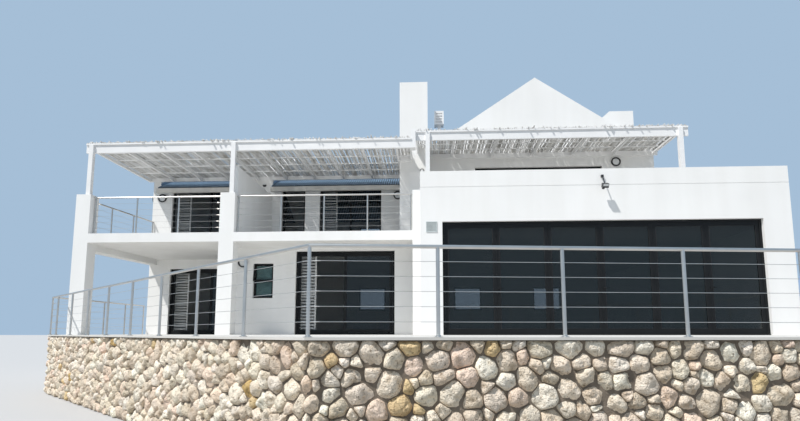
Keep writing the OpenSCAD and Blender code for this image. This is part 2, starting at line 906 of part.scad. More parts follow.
left_pergola_x = [-balcony_w + left_pergola_inset, -left_pergola_end];
right_pergola_x = [-left_pergola_end + post_side, right_pergola_end];
left_pergola_z = eave_z + left_pergola_rise;
right_pergola_z = left_pergola_z + right_pergola_rise;
back_beam_z = left_pergola_z + beam_d - back_beam_d;
left_depth = balcony_d + beam_t - left_pergola_y;
right_depth = main_setback - right_pergola_y;
post_front = post_side - beam_t;

// Square post under a front beam; half of it goes on up in front of the beam, to the beam's lip
module pergola_post(x, y, z0, z1) {
    block([x - post_side / 2, y - post_front, z0], [x + post_side / 2, y + beam_t, z1]);
    block([x - post_side / 2, y - post_front, z1], [x + post_side / 2, y, z1 + beam_d - lip_h]);
}

module pergola_posts() {
    color("white") {
        for (x = [-balcony_w, room_left])
            pergola_post(x + pier_w - post_side, left_pergola_y, floor_z + pier_h, left_pergola_z);
        pergola_post(wall_t - post_side / 2, right_pergola_y, parapet_z, right_pergola_z);
        pergola_post(right_pergola_end - right_post_inset, right_pergola_y, slab_z, right_pergola_z);
        hanger = right_pergola_x[0];
        block([hanger - post_side, left_pergola_y, left_pergola_z],
            [hanger, right_pergola_y + beam_t, right_pergola_z + beam_d]);
    }
}

// Frame from its beam's front face: front beam with a lip along its top, a back beam to a place of its own,
// rafters along Y at the given places and purlins along X on the rafters
module pergola_frame(x0, x1, depth, back_x1, back_d, rafters, purlins) {
    low = beam_d - purlin - rafter_d;
    block([x0, 0, 0], [x1, beam_t, beam_d]);
    block([x0, -lip_d, beam_d - lip_h], [x1, 0, beam_d]);
    block([x0, depth - beam_t, beam_d - back_d], [back_x1, depth, beam_d]);
    for (x = rafters)
        block([x, beam_t, low], [x + beam_t, depth - beam_t, beam_d - purlin]);
    for (k = [1 : purlins - 1])
        translate([0, beam_t + (depth - beam_t - purlin) * k / purlins, 0])
            block([x0, 0, beam_d - purlin], [x1, purlin, beam_d]);
}

// Poles along Y on the purlins, flat side down
module pergola_poles(x0, x1, depth) {
    side = pole / 2;
    n = floor((x1 - x0 - pole) / pole_pitch);
    for (i = [0 : n])
        translate([x0 + pole / 2 + i * pole_pitch, -pole_overhang, beam_d + side * cos(30)])
            rotate([-90, 0, 0]) cylinder(h = pole_overhang + depth, r = side, $fn = 6);
}

// Left faces of the rafters: at the ends, and at even spacing from a wall's face to the left
function spaced(x1, x0, bay) = [for (i = [0 : round((x1 - x0) / bay) - 1]) x1 - beam_t - i * bay];
left_rafters = concat(
    [left_pergola_x[0], left_pergola_x[1] - beam_t],
    spaced(chimney_left, left_pergola_x[0], left_rafter_bay)
);
right_rafters = concat(
    [right_pergola_x[0]],
    spaced(main_right, right_pergola_x[0], right_rafter_bay)
);

module left_pergola_frame() {
    low = left_pergola_z + beam_d - ledger_d;
    color("white") difference() {
        union() {
            translate([0, left_pergola_y, left_pergola_z])
                pergola_frame(left_pergola_x[0], left_pergola_x[1], left_depth, main_left, back_beam_d,
                    left_rafters, 5);
            block([chimney_left - beam_t, chimney_setback - beam_t, low],
                [left_pergola_x[1], chimney_setback, left_pergola_z + beam_d]);
        }
        chimney_body();
    }
}

module left_pergola_poles() {
    color("white") difference() {
        translate([0, left_pergola_y, left_pergola_z])
            pergola_poles(left_pergola_x[0], left_pergola_x[1], left_depth);
        chimney_body();
    }
}

module right_pergola_frame() {
    color("white") translate([0, right_pergola_y, right_pergola_z]) difference() {
        pergola_frame(right_pergola_x[0], right_pergola_x[1], right_depth, right_pergola_x[1], ledger_d,
            right_rafters, 4);
        translate([0, -right_pergola_y, -right_pergola_z]) chimney_body();
    }
}

module right_pergola_poles() {
    color("white") difference() {
        translate([0, right_pergola_y, right_pergola_z])
            pergola_poles(right_pergola_x[0], right_pergola_x[1], right_depth);
        chimney_body();
    }
}

// Folding door

fold_y = fold_front + reveal;
fold_in_w = folding_w - 2 * frame_w;
fold_leaf_w = fold_in_w / folding_leaves;
fold_leaf_z = floor_z + frame_w;
fold_leaf_h = folding_h - 2 * frame_w;
fold_joint = 4;

module folding_door_frame() {
    color("dimgray") ring(folding_x, floor_z, folding_w, folding_h, frame_w, fold_y, frame_d);
}

module fold_leaf_places() {
    for (i = [0 : folding_leaves - 1])
        translate([folding_x + frame_w + i * fold_leaf_w + fold_joint / 2, 0, 0])
            children();
}

module folding_door_leaves() {
    color("dimgray") fold_leaf_places()
        ring(0, fold_leaf_z, fold_leaf_w - fold_joint, fold_leaf_h - fold_joint, leaf_w,
            fold_y + (frame_d - leaf_t) / 2, leaf_t);
}

module folding_door_glass() {
    color([0.2, 0.28, 0.3, 0.6]) fold_leaf_places()
        pane(0, fold_leaf_z, fold_leaf_w - fold_joint, fold_leaf_h - fold_joint, leaf_w,
            fold_y + (frame_d - leaf_t) / 2, leaf_t);
}

// Sliding doors: the frame holds a fixed leaf behind on the left and a leaf that slides in front

track_gap = leaf_gap;
slide_frame_d = 2 * leaf_t + 3 * track_gap;
middle_door = [middle_left, room_setback + reveal, -middle_door_end - middle_left, middle_door_h];
patio_door = [patio_left, balcony_d + reveal, patio_door_w, patio_door_h];

// Width of a leaf: both leaves overlap by one member at the middle
function slide_leaf_w(door) = (door[2] - 2 * frame_w + leaf_w) / 2;

module slide_frame(door) {
    ring(door[0], floor_z, door[2], door[3], frame_w, door[1], slide_frame_d);
}

module fixed_place(door) {
    translate([door[0] + frame_w, door[1] + leaf_t + 2 * track_gap, floor_z + frame_w]) children();
}

module moving_place(door) {
    translate([door[0] + door[2] - frame_w - slide_leaf_w(door), door[1] + track_gap, floor_z + frame_w])
        children();
}

function fixed_size(door) = [slide_leaf_w(door), door[3] - 2 * frame_w];
function moving_size(door) = fixed_size(door) - [leaf_gap, 2 * leaf_gap];

module slide_leaf(size, lift) {
    ring(0, lift, size[0], size[1], leaf_w, 0, leaf_t);
}

module slide_pane(size, lift) {
    pane(0, lift, size[0], size[1], leaf_w, 0, leaf_t);
}

module sliding_door_frames() {
    color("dimgray") {
        slide_frame(middle_door);
        slide_frame(patio_door);
    }
}

module fixed_leaves() {
    color("dimgray") for (door = [middle_door, patio_door])
        fixed_place(door) slide_leaf(fixed_size(door), 0);
}

module fixed_leaf_glass() {
    color([0.2, 0.28, 0.3, 0.6]) for (door = [middle_door, patio_door])
        fixed_place(door) slide_pane(fixed_size(door), 0);
}

roller = 60;
// Moving leaf with two rollers that carry it on the track
module moving_leaf(door) {
    size = moving_size(door);
    color("dimgray") moving_place(door) {
        slide_leaf(size, leaf_gap);
        for (x = [leaf_w, size[0] - leaf_w - roller])
            translate([x, leaf_t / 4, roller_gap]) cube([roller, leaf_t / 2, leaf_gap]);
    }
}

module middle_door_leaf() {
    moving_leaf(middle_door);
}

module patio_door_leaf() {
    moving_leaf(patio_door);
}

module middle_door_glass() {
    color([0.2, 0.28, 0.3, 0.6]) moving_place(middle_door) slide_pane(moving_size(middle_door), leaf_gap);
}

module patio_door_glass() {
    color([0.2, 0.28, 0.3, 0.6]) moving_place(patio_door) slide_pane(moving_size(patio_door), leaf_gap);
}

// Upper doors and windows, each as [left, bottom, width, height, face of the frame, columns, rows, rows with
// fixed glass]
small_z = floor_z + sill_h;
small_y = room_setback + reveal;
openings = concat(
    [
        [upper_left, slab_z, upper_left_w, upper_door_h, balcony_d + reveal, 2, 1, 1],
        [upper_right, slab_z, upper_right_w, upper_door_h, balcony_d + reveal, 2, 1, 1],
        [narrow_left, slab_z, narrow_w, upper_door_h, balcony_d + reveal, 1, 1, 1],
        [gable_left, slab_z, gable_door_w, gable_door_h, main_setback + reveal, 3, 1, 1],
        [small_left, small_z, small_w, small_h, small_y, 1, 2, 1]
    ],
    [for (x = concat(wing_windows, main_windows)) for (z = storeys)
        [x, z, plain_w, small_h, house_d - reveal - frame_d, 1, 1, 1]]
);
function light_w(o) = (o[2] - (o[5] + 1) * frame_w) / o[5];
function light_h(o) = (o[3] - (o[6] + 1) * frame_w) / o[6];

// Box in each light of an opening, between two depths behind the frame's face
module lights(o, rows, y0, y1) {
    for (i = [0 : o[5] - 1])
        for (k = [0 : rows - 1])
            translate([
                o[0] + frame_w + i * (light_w(o) + frame_w),
                o[4] + y0,
                o[1] + frame_w + k * (light_h(o) + frame_w)
            ])
                cube([light_w(o), y1 - y0, light_h(o)]);
}

module upper_frames() {
    color("dimgray") for (o = openings)
        difference() {
            block([o[0], o[4], o[1]], [o[0] + o[2], o[4] + frame_d, o[1] + o[3]]);
            lights(o, o[6], -cut, frame_d + cut);
        }
}

module upper_glass() {
    color([0.2, 0.28, 0.3, 0.6]) {
        for (o = openings)
            lights(o, o[7], (frame_d - glass_t) / 2, (frame_d + glass_t) / 2);
        sash_place() pane(0, 0, sash_w, sash_h, frame_w / 2, 0, sash_t);
    }
}

// Top-hung sash of the small window, standing open in front of its frame
sash_t = 30;
sash_w = small_w - 2 * leaf_gap;
sash_h = small_h / 2;
sash_drop = 2 * leaf_gap;
module sash_place() {
    translate([small_left + leaf_gap, small_y, small_z + small_h - sash_drop])
        rotate([-sash_open, 0, 0]) translate([0, -sash_t, -sash_h]) children();
}

module window_sash() {
    color("dimgray") sash_place() ring(0, 0, sash_w, sash_h, frame_w / 2, 0, sash_t);
}

// Louvre shutters that stand behind the glass of the doors, at their left
shutter_gap = 20;
module shutter(x, y, z, h) {
    ring(x, z, shutter_w, h, shutter_stile, y, shutter_t);
    for (lift = [shutter_stile + slat_pitch / 2 : slat_pitch : h - shutter_stile - slat_pitch / 2])
        block([x + shutter_stile, y + shutter_t / 4, z + lift],
            [x + shutter_w - shutter_stile, y + shutter_t * 3 / 4, z + lift + slat_pitch / 2]);
}

module louvre_shutters() {
    behind = wall_t + shutter_gap;
    color("white") {
        shutter(middle_left + frame_w, room_setback + behind, floor_z, middle_door_h - frame_w);
        shutter(patio_left + frame_w, balcony_d + behind, floor_z, patio_door_h - frame_w);
        shutter(upper_left + frame_w, balcony_d + behind, slab_z, upper_door_h - frame_w);
        shutter(upper_right + frame_w, balcony_d + behind, slab_z, upper_door_h - frame_w);
    }
}

// Fittings

// Round bulkhead lamp that faces the front: a deep rim around a lower lens
module lamp(width) {
    rim = lamp_rim * width / lamp_w;
    rotate([90, 0, 0]) {
        difference() {
            cylinder(h = lamp_d, d = width);
            translate([0, 0, lamp_d / 3]) cylinder(h = lamp_d, d = width - 2 * rim);
        }
        cylinder(h = lamp_d * 3 / 4, d = width - 3 * rim);
    }
}

module wall_lamps() {
    upper_z = slab_z + upper_door_h - upper_lamp_drop;
    gable_lamp_left = gable_left + gable_door_w + gable_lamp_x;
    color("black") {
        translate([-wing_w + corner_lamp_x, balcony_d, upper_z]) lamp(lamp_w);
        translate([-wing_w, balcony_d + side_lamp_y, upper_z]) rotate([0, 0, -90]) lamp(lamp_w);
        translate([chimney_left - chimney_side_lamp, balcony_d, upper_z]) lamp(lamp_w);
        translate([gable_lamp_left, main_setback, right_pergola_z - gable_lamp_drop]) lamp(lamp_w);
        translate([room_left + room_lamp_x, room_setback, floor_z + room_lamp_h]) lamp(lamp_w);
        translate([main_left - chimney_lamp_x, chimney_setback, left_pergola_z - chimney_lamp_drop])
            lamp(small_lamp_w);
        translate([divider_right - parapet_lamp_x, balcony_d, eave_z + parapet_lamp_h])
            lamp(small_lamp_w);
    }
}

// Floodlight on a slanted arm from a small wall box, with a round sensor under its head
module floodlight() {
    arm = flood_box / 3;
    color("black") translate([folding_x + flood_x, fold_front, floor_z + folding_h + flood_h]) {
        block([-flood_box / 2, -flood_box, -flood_box / 2], [flood_box / 2, 0, flood_box / 2]);
        prism_x(-arm / 2, arm / 2, [
            [-flood_box / 2, 0],
            [-flood_box, 0],
            [-flood_out - arm, -flood_drop],
            [-flood_out, -flood_drop]
        ]);
        translate([0, -flood_out, -flood_drop]) rotate([flood_tilt, 0, 0]) {
            block([-flood_w / 2, -flood_d / 2, -flood_t / 2], [flood_w / 2, flood_d / 2, flood_t / 2]);
            translate([sensor_w / 2 - flood_w / 2, 0, -flood_t / 2 - sensor_w / 2])
                cylinder(h = flood_t, d = sensor_w);
        }
    }
}

module vent_grille() {
    z = floor_z + folding_h - grille_h;
    color("gray") block([grille_x, fold_front - grille_d, z],
        [grille_x + grille_w, fold_front, z + grille_h]);
}

terrace_fill();
terrace_slab();
stone_wall(0);  // stone_wall_front
stone_wall(1);  // stone_wall_right
stone_wall(2);  // stone_wall_back
stone_wall(3);  // stone_wall_side
stone_wall(4);  // stone_wall_left
terrace_rail_front();
terrace_rail_left();
terrace_rail_side();
terrace_rail_right();
balcony_piers();
balcony_slab();
dividing_walls();
balcony_rails();
wing_floor();
wing_side_wall();
wing_back_wall();
patio_wall_sides();
patio_wall_lintel();
room_front_wall();
room_side_wall();
upper_front_wall();
wing_roof();
eave_gutter();
lounge_front_sides();
lounge_parapet();
lounge_left_wall();
lounge_right_wall();
lounge_slab();
gable_wall();
main_side_walls();
main_back_wall();
main_roof();
chimney();
flue_block();
roof_vent();
pergola_posts();
left_pergola_frame();
left_pergola_poles();
right_pergola_frame();
right_pergola_poles();
folding_door_frame();
folding_door_leaves();
folding_door_glass();
sliding_door_frames();
fixed_leaves();
fixed_leaf_glass();
middle_door_leaf();
middle_door_glass();
patio_door_leaf();
patio_door_glass();
upper_frames();
upper_glass();
window_sash();
louvre_shutters();
wall_lamps();
floodlight();
vent_grille();
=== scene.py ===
# Looks of the beach house: stones, roof sheets, poles, fittings, materials, light and camera, built around
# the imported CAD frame. Lengths are in metres. X runs along the front, Y into the house and Z up.
import json
import math
import random

import bmesh
import bpy
from mathutils import Matrix, Vector, noise


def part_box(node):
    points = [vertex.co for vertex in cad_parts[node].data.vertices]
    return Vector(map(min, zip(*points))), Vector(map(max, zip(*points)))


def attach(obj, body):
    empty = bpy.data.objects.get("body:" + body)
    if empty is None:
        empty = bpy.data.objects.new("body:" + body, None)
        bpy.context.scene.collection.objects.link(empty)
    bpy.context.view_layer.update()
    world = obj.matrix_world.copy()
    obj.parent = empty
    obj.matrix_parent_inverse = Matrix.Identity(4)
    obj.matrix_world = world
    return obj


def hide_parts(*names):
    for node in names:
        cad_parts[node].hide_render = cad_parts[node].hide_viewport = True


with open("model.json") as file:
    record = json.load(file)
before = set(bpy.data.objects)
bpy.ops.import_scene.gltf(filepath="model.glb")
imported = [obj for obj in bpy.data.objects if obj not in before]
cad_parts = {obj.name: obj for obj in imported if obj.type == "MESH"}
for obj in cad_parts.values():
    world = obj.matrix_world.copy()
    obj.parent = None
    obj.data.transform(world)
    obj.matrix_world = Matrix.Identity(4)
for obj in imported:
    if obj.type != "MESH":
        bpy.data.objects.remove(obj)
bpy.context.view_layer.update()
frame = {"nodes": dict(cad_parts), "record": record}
scene = bpy.context.scene
TAU = 2 * math.pi

# Levels, plan and joinery of the house, as in its source
FLOOR = 1.5
UPPER = 4.27
EAVE = 6.47
WING_LEFT = -9.27
BALCONY_LEFT = -9.584
ROOM_LEFT = -5.499
ROOM_FRONT = 1.2
BALCONY_D = 3.5
HOUSE_D = 10.0
WALL = 0.25
MAIN_LEFT = 0.2
MAIN_RIGHT = 7.16
MAIN_FRONT = 2.3
RIDGE_X = 3.61
APEX = 9.62
SLOPE = 0.67
COPING = 0.12
PITCH = math.tan(math.radians(28))
WING_RIDGE_Y = 6.75
ROOF_FRONT = 3.3
PARAPET = (-5.889, -5.089)
UPPER_RIGHT = -3.469
DOOR_FRAME = 0.06
STILE = 0.075

# Railings, as in its source
RAIL_H = 1.005
BALCONY_RAIL_H = 1.07
HANDRAIL_R = 0.0215
CABLES = 5
RAIL_BAY = 1.39
FRONT_BAYS = 7
LEFT_POSTS = 8
SIDE_BAYS = 4
RIGHT_BAYS = 4
FRONT_TURN = math.radians(6.6)
CORNER = Vector((-1.1, -8.38))
SIDE_RAIL = (Vector((-9.72, -0.415)), Vector((-9.72, 4.125)))
RIGHT_RAIL_END = -1.76

# Corrugation of the roof sheets
RIB = 0.076
RIB_H = 0.013


def wing_top(y):
    """Height of the wing's roof at a depth y."""
    return EAVE + (WING_RIDGE_Y - ROOF_FRONT - abs(y - WING_RIDGE_Y)) * PITCH


def main_top(x):
    """Height of the main roof at a place x."""
    return APEX - COPING - SLOPE * abs(x - RIDGE_X)


# Mesh building

class Build:
    """Collects simple forms into one mesh with one or more materials."""

    def __init__(self):
        self.verts = []
        self.faces = []
        self.marks = []
        self.mark = 0
        self.tints = []
        self.tint = None

    def add(self, verts, faces):
        base = len(self.verts)
        self.verts.extend(verts)
        self.faces.extend(tuple(i + base for i in f) for f in faces)
        self.marks.extend([self.mark] * len(faces))
        if self.tint:
            self.tints.extend([self.tint] * len(verts))

    def box(self, lo, hi, bevel=0.002):
        """Box with chamfered edges."""
        lo, hi = Vector(lo), Vector(hi)
        b = min(bevel, *[(hi[i] - lo[i]) / 2.5 for i in range(3)])
        verts, at = [], {}
        for corner in range(8):
            side = [(corner >> i) & 1 for i in range(3)]
            for axis in range(3):
                inset = [0 if i == axis else (-b if side[i] else b) for i in range(3)]
                at[corner, axis] = len(verts)
                verts.append(tuple((hi if side[i] else lo)[i] + inset[i] for i in range(3)))
        faces = []
        for axis in range(3):
            u, v = (axis + 1) % 3, (axis + 2) % 3
            for s in (0, 1):
                loop = [(s << axis) | (a << u) | (c << v) for a, c in ((0, 0), (1, 0), (1, 1), (0, 1))]
                face = [at[c, axis] for c in loop]
                faces.append(face if s else face[::-1])
            for a in (0, 1):
                for c in (0, 1):
                    k0 = (a << u) | (c << v)
                    k1 = k0 | (1 << axis)
                    face = [at[k0, u], at[k1, u], at[k1, v], at[k0, v]]
                    faces.append(face if a == c else face[::-1])
        for corner in range(8):
            odd = bin(corner).count("1") % 2
            face = [at[corner, 0], at[corner, 1], at[corner, 2]]
            faces.append(face if odd else face[::-1])
        self.add(verts, faces)

    def rim(self, lo, hi, wide, bevel=0.002):
        """Upright rectangular frame of four boxes between two corners."""
        (x0, y0, z0), (x1, y1, z1) = lo, hi
        self.box(lo, (x0 + wide, y1, z1), bevel)
        self.box((x1 - wide, y0, z0), hi, bevel)
        self.box((x0 + wide, y0, z0), (x1 - wide, y1, z0 + wide), bevel)
        self.box((x0 + wide, y0, z1 - wide), (x1 - wide, y1, z1), bevel)

    def prism(self, outline, lo, hi, axis):
        """Outline pushed along "x", where its points are (y, z), or along "y", where they are (x, z)."""
        def place(p, w):
            return (w, p[0], p[1]) if axis == "x" else (p[0], w, p[1])
        n = len(outline)
        verts = [place(p, lo) for p in outline] + [place(p, hi) for p in outline]
        faces = [tuple(range(n))[::-1], tuple(range(n, 2 * n))]
        faces += [(i, (i + 1) % n, n + (i + 1) % n, n + i) for i in range(n)]
        self.add(verts, faces)

    def revolve(self, profile, place, n):
        """Profile of (radius, height) turned about a place's Z axis. A radius of 0 closes an end."""
        verts, rows = [], []
        for r, h in profile:
            if r <= 0:
                rows.append([len(verts)])
                verts.append(place @ Vector((0, 0, h)))
            else:
                rows.append(list(range(len(verts), len(verts) + n)))
                verts += [place @ Vector((r * math.cos(TAU * i / n), r * math.sin(TAU * i / n), h))
                          for i in range(n)]
        faces = []
        for a, b in zip(rows, rows[1:]):
            for i in range(n):
                j = (i + 1) % n
                if len(a) == 1:
                    faces.append((a[0], b[i], b[j])[::-1])
                elif len(b) == 1:
                    faces.append((a[i], a[j], b[0]))
                else:
                    faces.append((a[i], a[j], b[j], b[i]))
        self.add([tuple(v) for v in verts], faces)

    def tube(self, points, radii, n):
        """Round bar through points, with a radius at each."""
        verts, rows = [], []
        for k, p in enumerate(points):
            a = points[max(k - 1, 0)]
            b = points[min(k + 1, len(points) - 1)]
            d = (Vector(b) - Vector(a)).normalized()
            side = d.cross(Vector((0, 0, 1)))
            side = side.normalized() if side.length > 1e-4 else Vector((1, 0, 0))
            up = side.cross(d)
            rows.append(range(len(verts), len(verts) + n))
            for i in range(n):
                angle = TAU * i / n
                out = math.cos(angle) * side + math.sin(angle) * up
                verts.append(tuple(Vector(p) + radii[k] * out))
        faces = [(a[i], a[(i + 1) % n], b[(i + 1) % n], b[i])
                 for a, b in zip(rows, rows[1:]) for i in range(n)]
        faces += [tuple(rows[0])[::-1], tuple(rows[-1])]
        self.add(verts, faces)

    def piece(self, name, slot, materials, body="house", replaces=(), angle=40):
        """Makes the object with its materials, ties it to its body and hides the nodes it stands for."""
        mesh = bpy.data.meshes.new(name)
        mesh.from_pydata(self.verts, [], self.faces)
        for m in materials:
            mesh.materials.append(m)
        mesh.polygons.foreach_set("material_index", self.marks)
        if self.tints:
            layer = mesh.color_attributes.new("tint", "FLOAT_COLOR", "POINT")
            for i, c in enumerate(self.tints):
                layer.data[i].color = (*c, 1)
        mesh.validate()
        fix_normals(mesh)
        mesh.shade_smooth()
        mesh.set_sharp_from_angle(angle=math.radians(angle))
        obj = bpy.data.objects.new(name, mesh)
        scene.collection.objects.link(obj)
        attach(obj, body)
        if replaces:
            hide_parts(*replaces)


def fix_normals(mesh):
    bm = bmesh.new()
    bm.from_mesh(mesh)
    bmesh.ops.recalc_face_normals(bm, faces=bm.faces)
    bm.to_mesh(mesh)
    bm.free()


def facing(origin, direction):
    """Place whose Z axis points along a direction."""
    z = Vector(direction).normalized()
    return Matrix.Translation(Vector(origin)) @ z.to_track_quat("Z", "Y").to_matrix().to_4x4()


# Materials

class Nodes:
    """Small helper around a node tree."""

    def __init__(self, tree):
        self.tree = tree

    def new(self, kind, inputs, **settings):
        """New node with its settings, and with a value or a link for each input that is named."""
        node = self.tree.nodes.new(kind)
        for key, value in settings.items():
            setattr(node, key, value)
        for key, value in inputs.items():
            if isinstance(value, bpy.types.NodeSocket):
                self.tree.links.new(value, node.inputs[key])
            else:
                node.inputs[key].default_value = value
        return node

    def either(self, a, b):
        return self.new("ShaderNodeMath", {0: a, 1: b}, operation="MAXIMUM").outputs[0]

    def shown_colour(self, lighting, shown):
        """One colour where it lights the object, another where the camera, glass and metal show it."""
        rays = self.new("ShaderNodeLightPath", {}).outputs
        factor = self.either(rays["Is Camera Ray"], rays["Is Transmission Ray"])
        factor = self.either(factor, rays["Is Glossy Ray"])
        inputs = {0: factor, 6: (*lighting, 1), 7: (*shown, 1)}
        return self.new("ShaderNodeMix", inputs, data_type="RGBA").outputs[2]


class Shader(Nodes):
    """Material around one principled shader."""

    def __init__(self, name, rough, metal=0.0):
        self.material = bpy.data.materials.new(name)
        self.material.use_nodes = True
        super().__init__(self.material.node_tree)
        self.bsdf = self.tree.nodes["Principled BSDF"]
        self.bsdf.inputs["Roughness"].default_value = rough
        self.bsdf.inputs["Metallic"].default_value = metal
        self.where = self.new("ShaderNodeTexCoord", {}).outputs["Object"]

    def noise(self, scale, detail=3, stretch=(1, 1, 1)):
        """Noise, drawn out along an axis whose stretch is below 1."""
        place = self.new("ShaderNodeMapping", {"Vector": self.where, "Scale": stretch}).outputs["Vector"]
        inputs = {"Vector": place, "Scale": scale, "Detail": detail}
        return self.new("ShaderNodeTexNoise", inputs).outputs["Fac"]

    def tint(self):
        """The colour that each stone or pole carries."""
        return self.new("ShaderNodeAttribute", {}, attribute_name="tint").outputs["Color"]

    def ramp(self, value, stops):
        """Colours for a value, from stops of (value, colour)."""
        node = self.new("ShaderNodeValToRGB", {"Fac": value})
        while len(node.color_ramp.elements) < len(stops):
            node.color_ramp.elements.new(0.5)
        for element, (place, colour) in zip(node.color_ramp.elements, stops):
            element.position = place
            element.color = (*colour[:3], 1)
        return node.outputs["Color"]

    def multiply(self, tone, by, factor):
        """One tone times another one, mixed in by a factor."""
        inputs = {0: factor, 6: tone, 7: by}
        return self.new("ShaderNodeMix", inputs, data_type="RGBA", blend_type="MULTIPLY").outputs[2]

    def spread(self, value, low, high):
        """A value from 0 to 1, spread from low to high."""
        inputs = {"Value": value, "To Min": low, "To Max": high}
        return self.new("ShaderNodeMapRange", inputs).outputs["Result"]

    def bump(self, value, strength, distance, before=None):
        """Bump from a value, laid over the one before."""
        inputs = {"Height": value, "Strength": strength, "Distance": distance}
        if before:
            inputs["Normal"] = before
        return self.new("ShaderNodeBump", inputs).outputs["Normal"]

    def done(self, colour=None, rough=None, normal=None):
        for value, key in ((colour, "Base Color"), (rough, "Roughness"), (normal, "Normal")):
            if value is not None:
                self.tree.links.new(value, self.bsdf.inputs[key])
        return self.material


SLOTS = {m["slot"]: tuple(m["base_color"]) for m in frame["record"]["materials"]}


def shade(colour, factor):
    return tuple(c * factor for c in colour[:3])


def plain_variation(name, colour, rough, scale, amount, bump, distance, fine, stretch=(1, 1, 1), shine=0.5):
    """Base colour that drifts a little at one scale, with a bump at a finer one."""
    s = Shader(name, rough)
    s.bsdf.inputs["Specular IOR Level"].default_value = shine
    drift = s.noise(scale, 4, stretch)
    tone = s.ramp(drift, [(0.25, shade(colour, 1 - amount)), (0.75, shade(colour, 1 + amount * 0.35))])
    normal = s.bump(s.noise(fine, 3, stretch), bump, distance)
    return s.done(tone, s.spread(drift, rough * 0.88, min(1, rough * 1.1)), normal)


def plaster_material():
    """Painted plaster: soft trowel waves, a fine grain and faint weathering."""
    s = Shader("plaster", 0.72)
    colour = SLOTS["plaster"]
    broad = s.noise(0.8, 5)
    streak = s.noise(1.6, 4, (1.5, 1.5, 0.12))
    tone = s.ramp(broad, [(0.3, shade(colour, 0.955)), (0.7, colour)])
    worn = s.ramp(streak, [(0.35, (0.93, 0.925, 0.91)), (0.6, (1, 1, 1))])
    wave = s.bump(s.noise(5, 3), 0.12, 0.01)
    grain = s.bump(s.noise(160, 3), 0.25, 0.001, wave)
    return s.done(s.multiply(tone, worn, 0.45), s.spread(broad, 0.66, 0.8), grain)


def stone_material():
    """Rough sandstone: the stone's own tint, blotches, darker pits and a coarse surface."""
    s = Shader("rubble_stone", 0.88)
    blotch = s.ramp(s.noise(9, 7), [
        (0.32, (0.78, 0.73, 0.66)), (0.46, (1.06, 1.05, 1.03)), (0.66, (1.22, 1.21, 1.19))])
    pits = s.ramp(s.noise(34, 5), [(0.34, (0.4, 0.34, 0.28)), (0.42, (1, 1, 1))])
    grain = s.ramp(s.noise(150, 3), [(0.3, (0.9, 0.89, 0.87)), (0.7, (1.06, 1.06, 1.06))])
    tone = s.multiply(s.tint(), blotch, 1.0)
    tone = s.multiply(tone, pits, 0.75)
    tone = s.multiply(tone, grain, 0.8)
    coarse = s.bump(s.noise(15, 7), 1.0, 0.045)
    fine = s.bump(s.noise(60, 5), 0.9, 0.014, coarse)
    return s.done(tone, None, fine)


def metal_material(name, colour, rough, stretch):
    """Satin metal with a fine brushed grain."""
    s = Shader(name, rough, 1.0)
    brushed = s.noise(90, 3, stretch)
    tone = s.ramp(s.noise(5, 3), [(0.3, shade(colour, 0.88)), (0.7, colour)])
    return s.done(tone, s.spread(brushed, rough * 0.8, rough * 1.25), s.bump(brushed, 0.04, 0.0003))


def timber_material():
    """Thin white paint over rough poles: a tint for each pole, long grain, scuffs and worn places."""
    s = Shader("white_timber", 0.66)
    grain = s.noise(45, 5, (1, 0.06, 1))
    paint = s.ramp(grain, [(0.3, (0.86, 0.85, 0.84)), (0.6, (1, 1, 1))])
    worn = s.ramp(s.noise(7, 5, (1, 0.35, 1)), [(0.36, (0.62, 0.59, 0.54)), (0.5, (1, 1, 1))])
    tone = s.multiply(s.multiply(s.tint(), paint, 1.0), worn, 0.7)
    return s.done(tone, s.spread(grain, 0.58, 0.78), s.bump(grain, 0.4, 0.003))


def glass_material(name, alpha):
    """Dark tinted glass with a faint film of salt and dust."""
    s = Shader(name, 0.03)
    s.bsdf.inputs["Base Color"].default_value = (*shade(SLOTS["door_glass"], 0.12), 1)
    s.bsdf.inputs["Alpha"].default_value = alpha
    s.bsdf.inputs["IOR"].default_value = 1.52
    film = s.noise(6, 5, (1, 1, 0.4))
    return s.done(None, s.spread(film, 0.015, 0.06), s.bump(s.noise(1.3, 1), 0.03, 0.01))


def lens_material():
    """Ribbed opal lens of the lamps."""
    s = Shader("lamp_lens", 0.35)
    tone = s.ramp(s.noise(40, 2), [(0.3, (0.66, 0.68, 0.69)), (0.7, (0.78, 0.8, 0.8))])
    return s.done(tone, None, s.bump(s.noise(120, 2), 0.2, 0.001))


def roof_material(name, across):
    """Coated steel sheet: chalky coat and dust, with painted shade in the rib valleys and a painted highlight
    on the rib crests, across the given axis.
    """
    s = Shader(name, 0.42, 0.2)
    colour = SLOTS["roof_sheet"]
    blue = (colour[0] * 0.62, colour[1] * 0.82, colour[2])
    drift = s.noise(1.2, 5)
    tone = s.ramp(drift, [(0.3, shade(blue, 0.95)), (0.7, shade(blue, 1.4))])
    dust = s.ramp(s.noise(14, 5), [(0.55, (1, 1, 1)), (0.8, (1.4, 1.36, 1.3))])
    # Painted shade in the rib valleys and painted highlight on the rib crests, from a wave at the ribs' pitch
    inputs = {"Vector": s.where, "Scale": TAU / (20 * RIB), "Phase Offset": TAU / 4}
    valleys = s.new("ShaderNodeTexWave", inputs, bands_direction=across).outputs["Fac"]
    painted_rib_shade_and_highlight = s.ramp(valleys, [(0.3, (0.1, 0.1, 0.11)), (0.62, (1.7, 1.7, 1.7))])
    tone = s.multiply(s.multiply(tone, dust, 0.5), painted_rib_shade_and_highlight, 1.0)
    return s.done(tone, s.spread(drift, 0.34, 0.52), s.bump(s.noise(120, 2), 0.1, 0.001))


def slot_variation(slot, rough, *values, factor=1, **more):
    """The same in the colour of a slot, or in a share of it."""
    return plain_variation(slot, shade(SLOTS[slot], factor), rough, *values, **more)


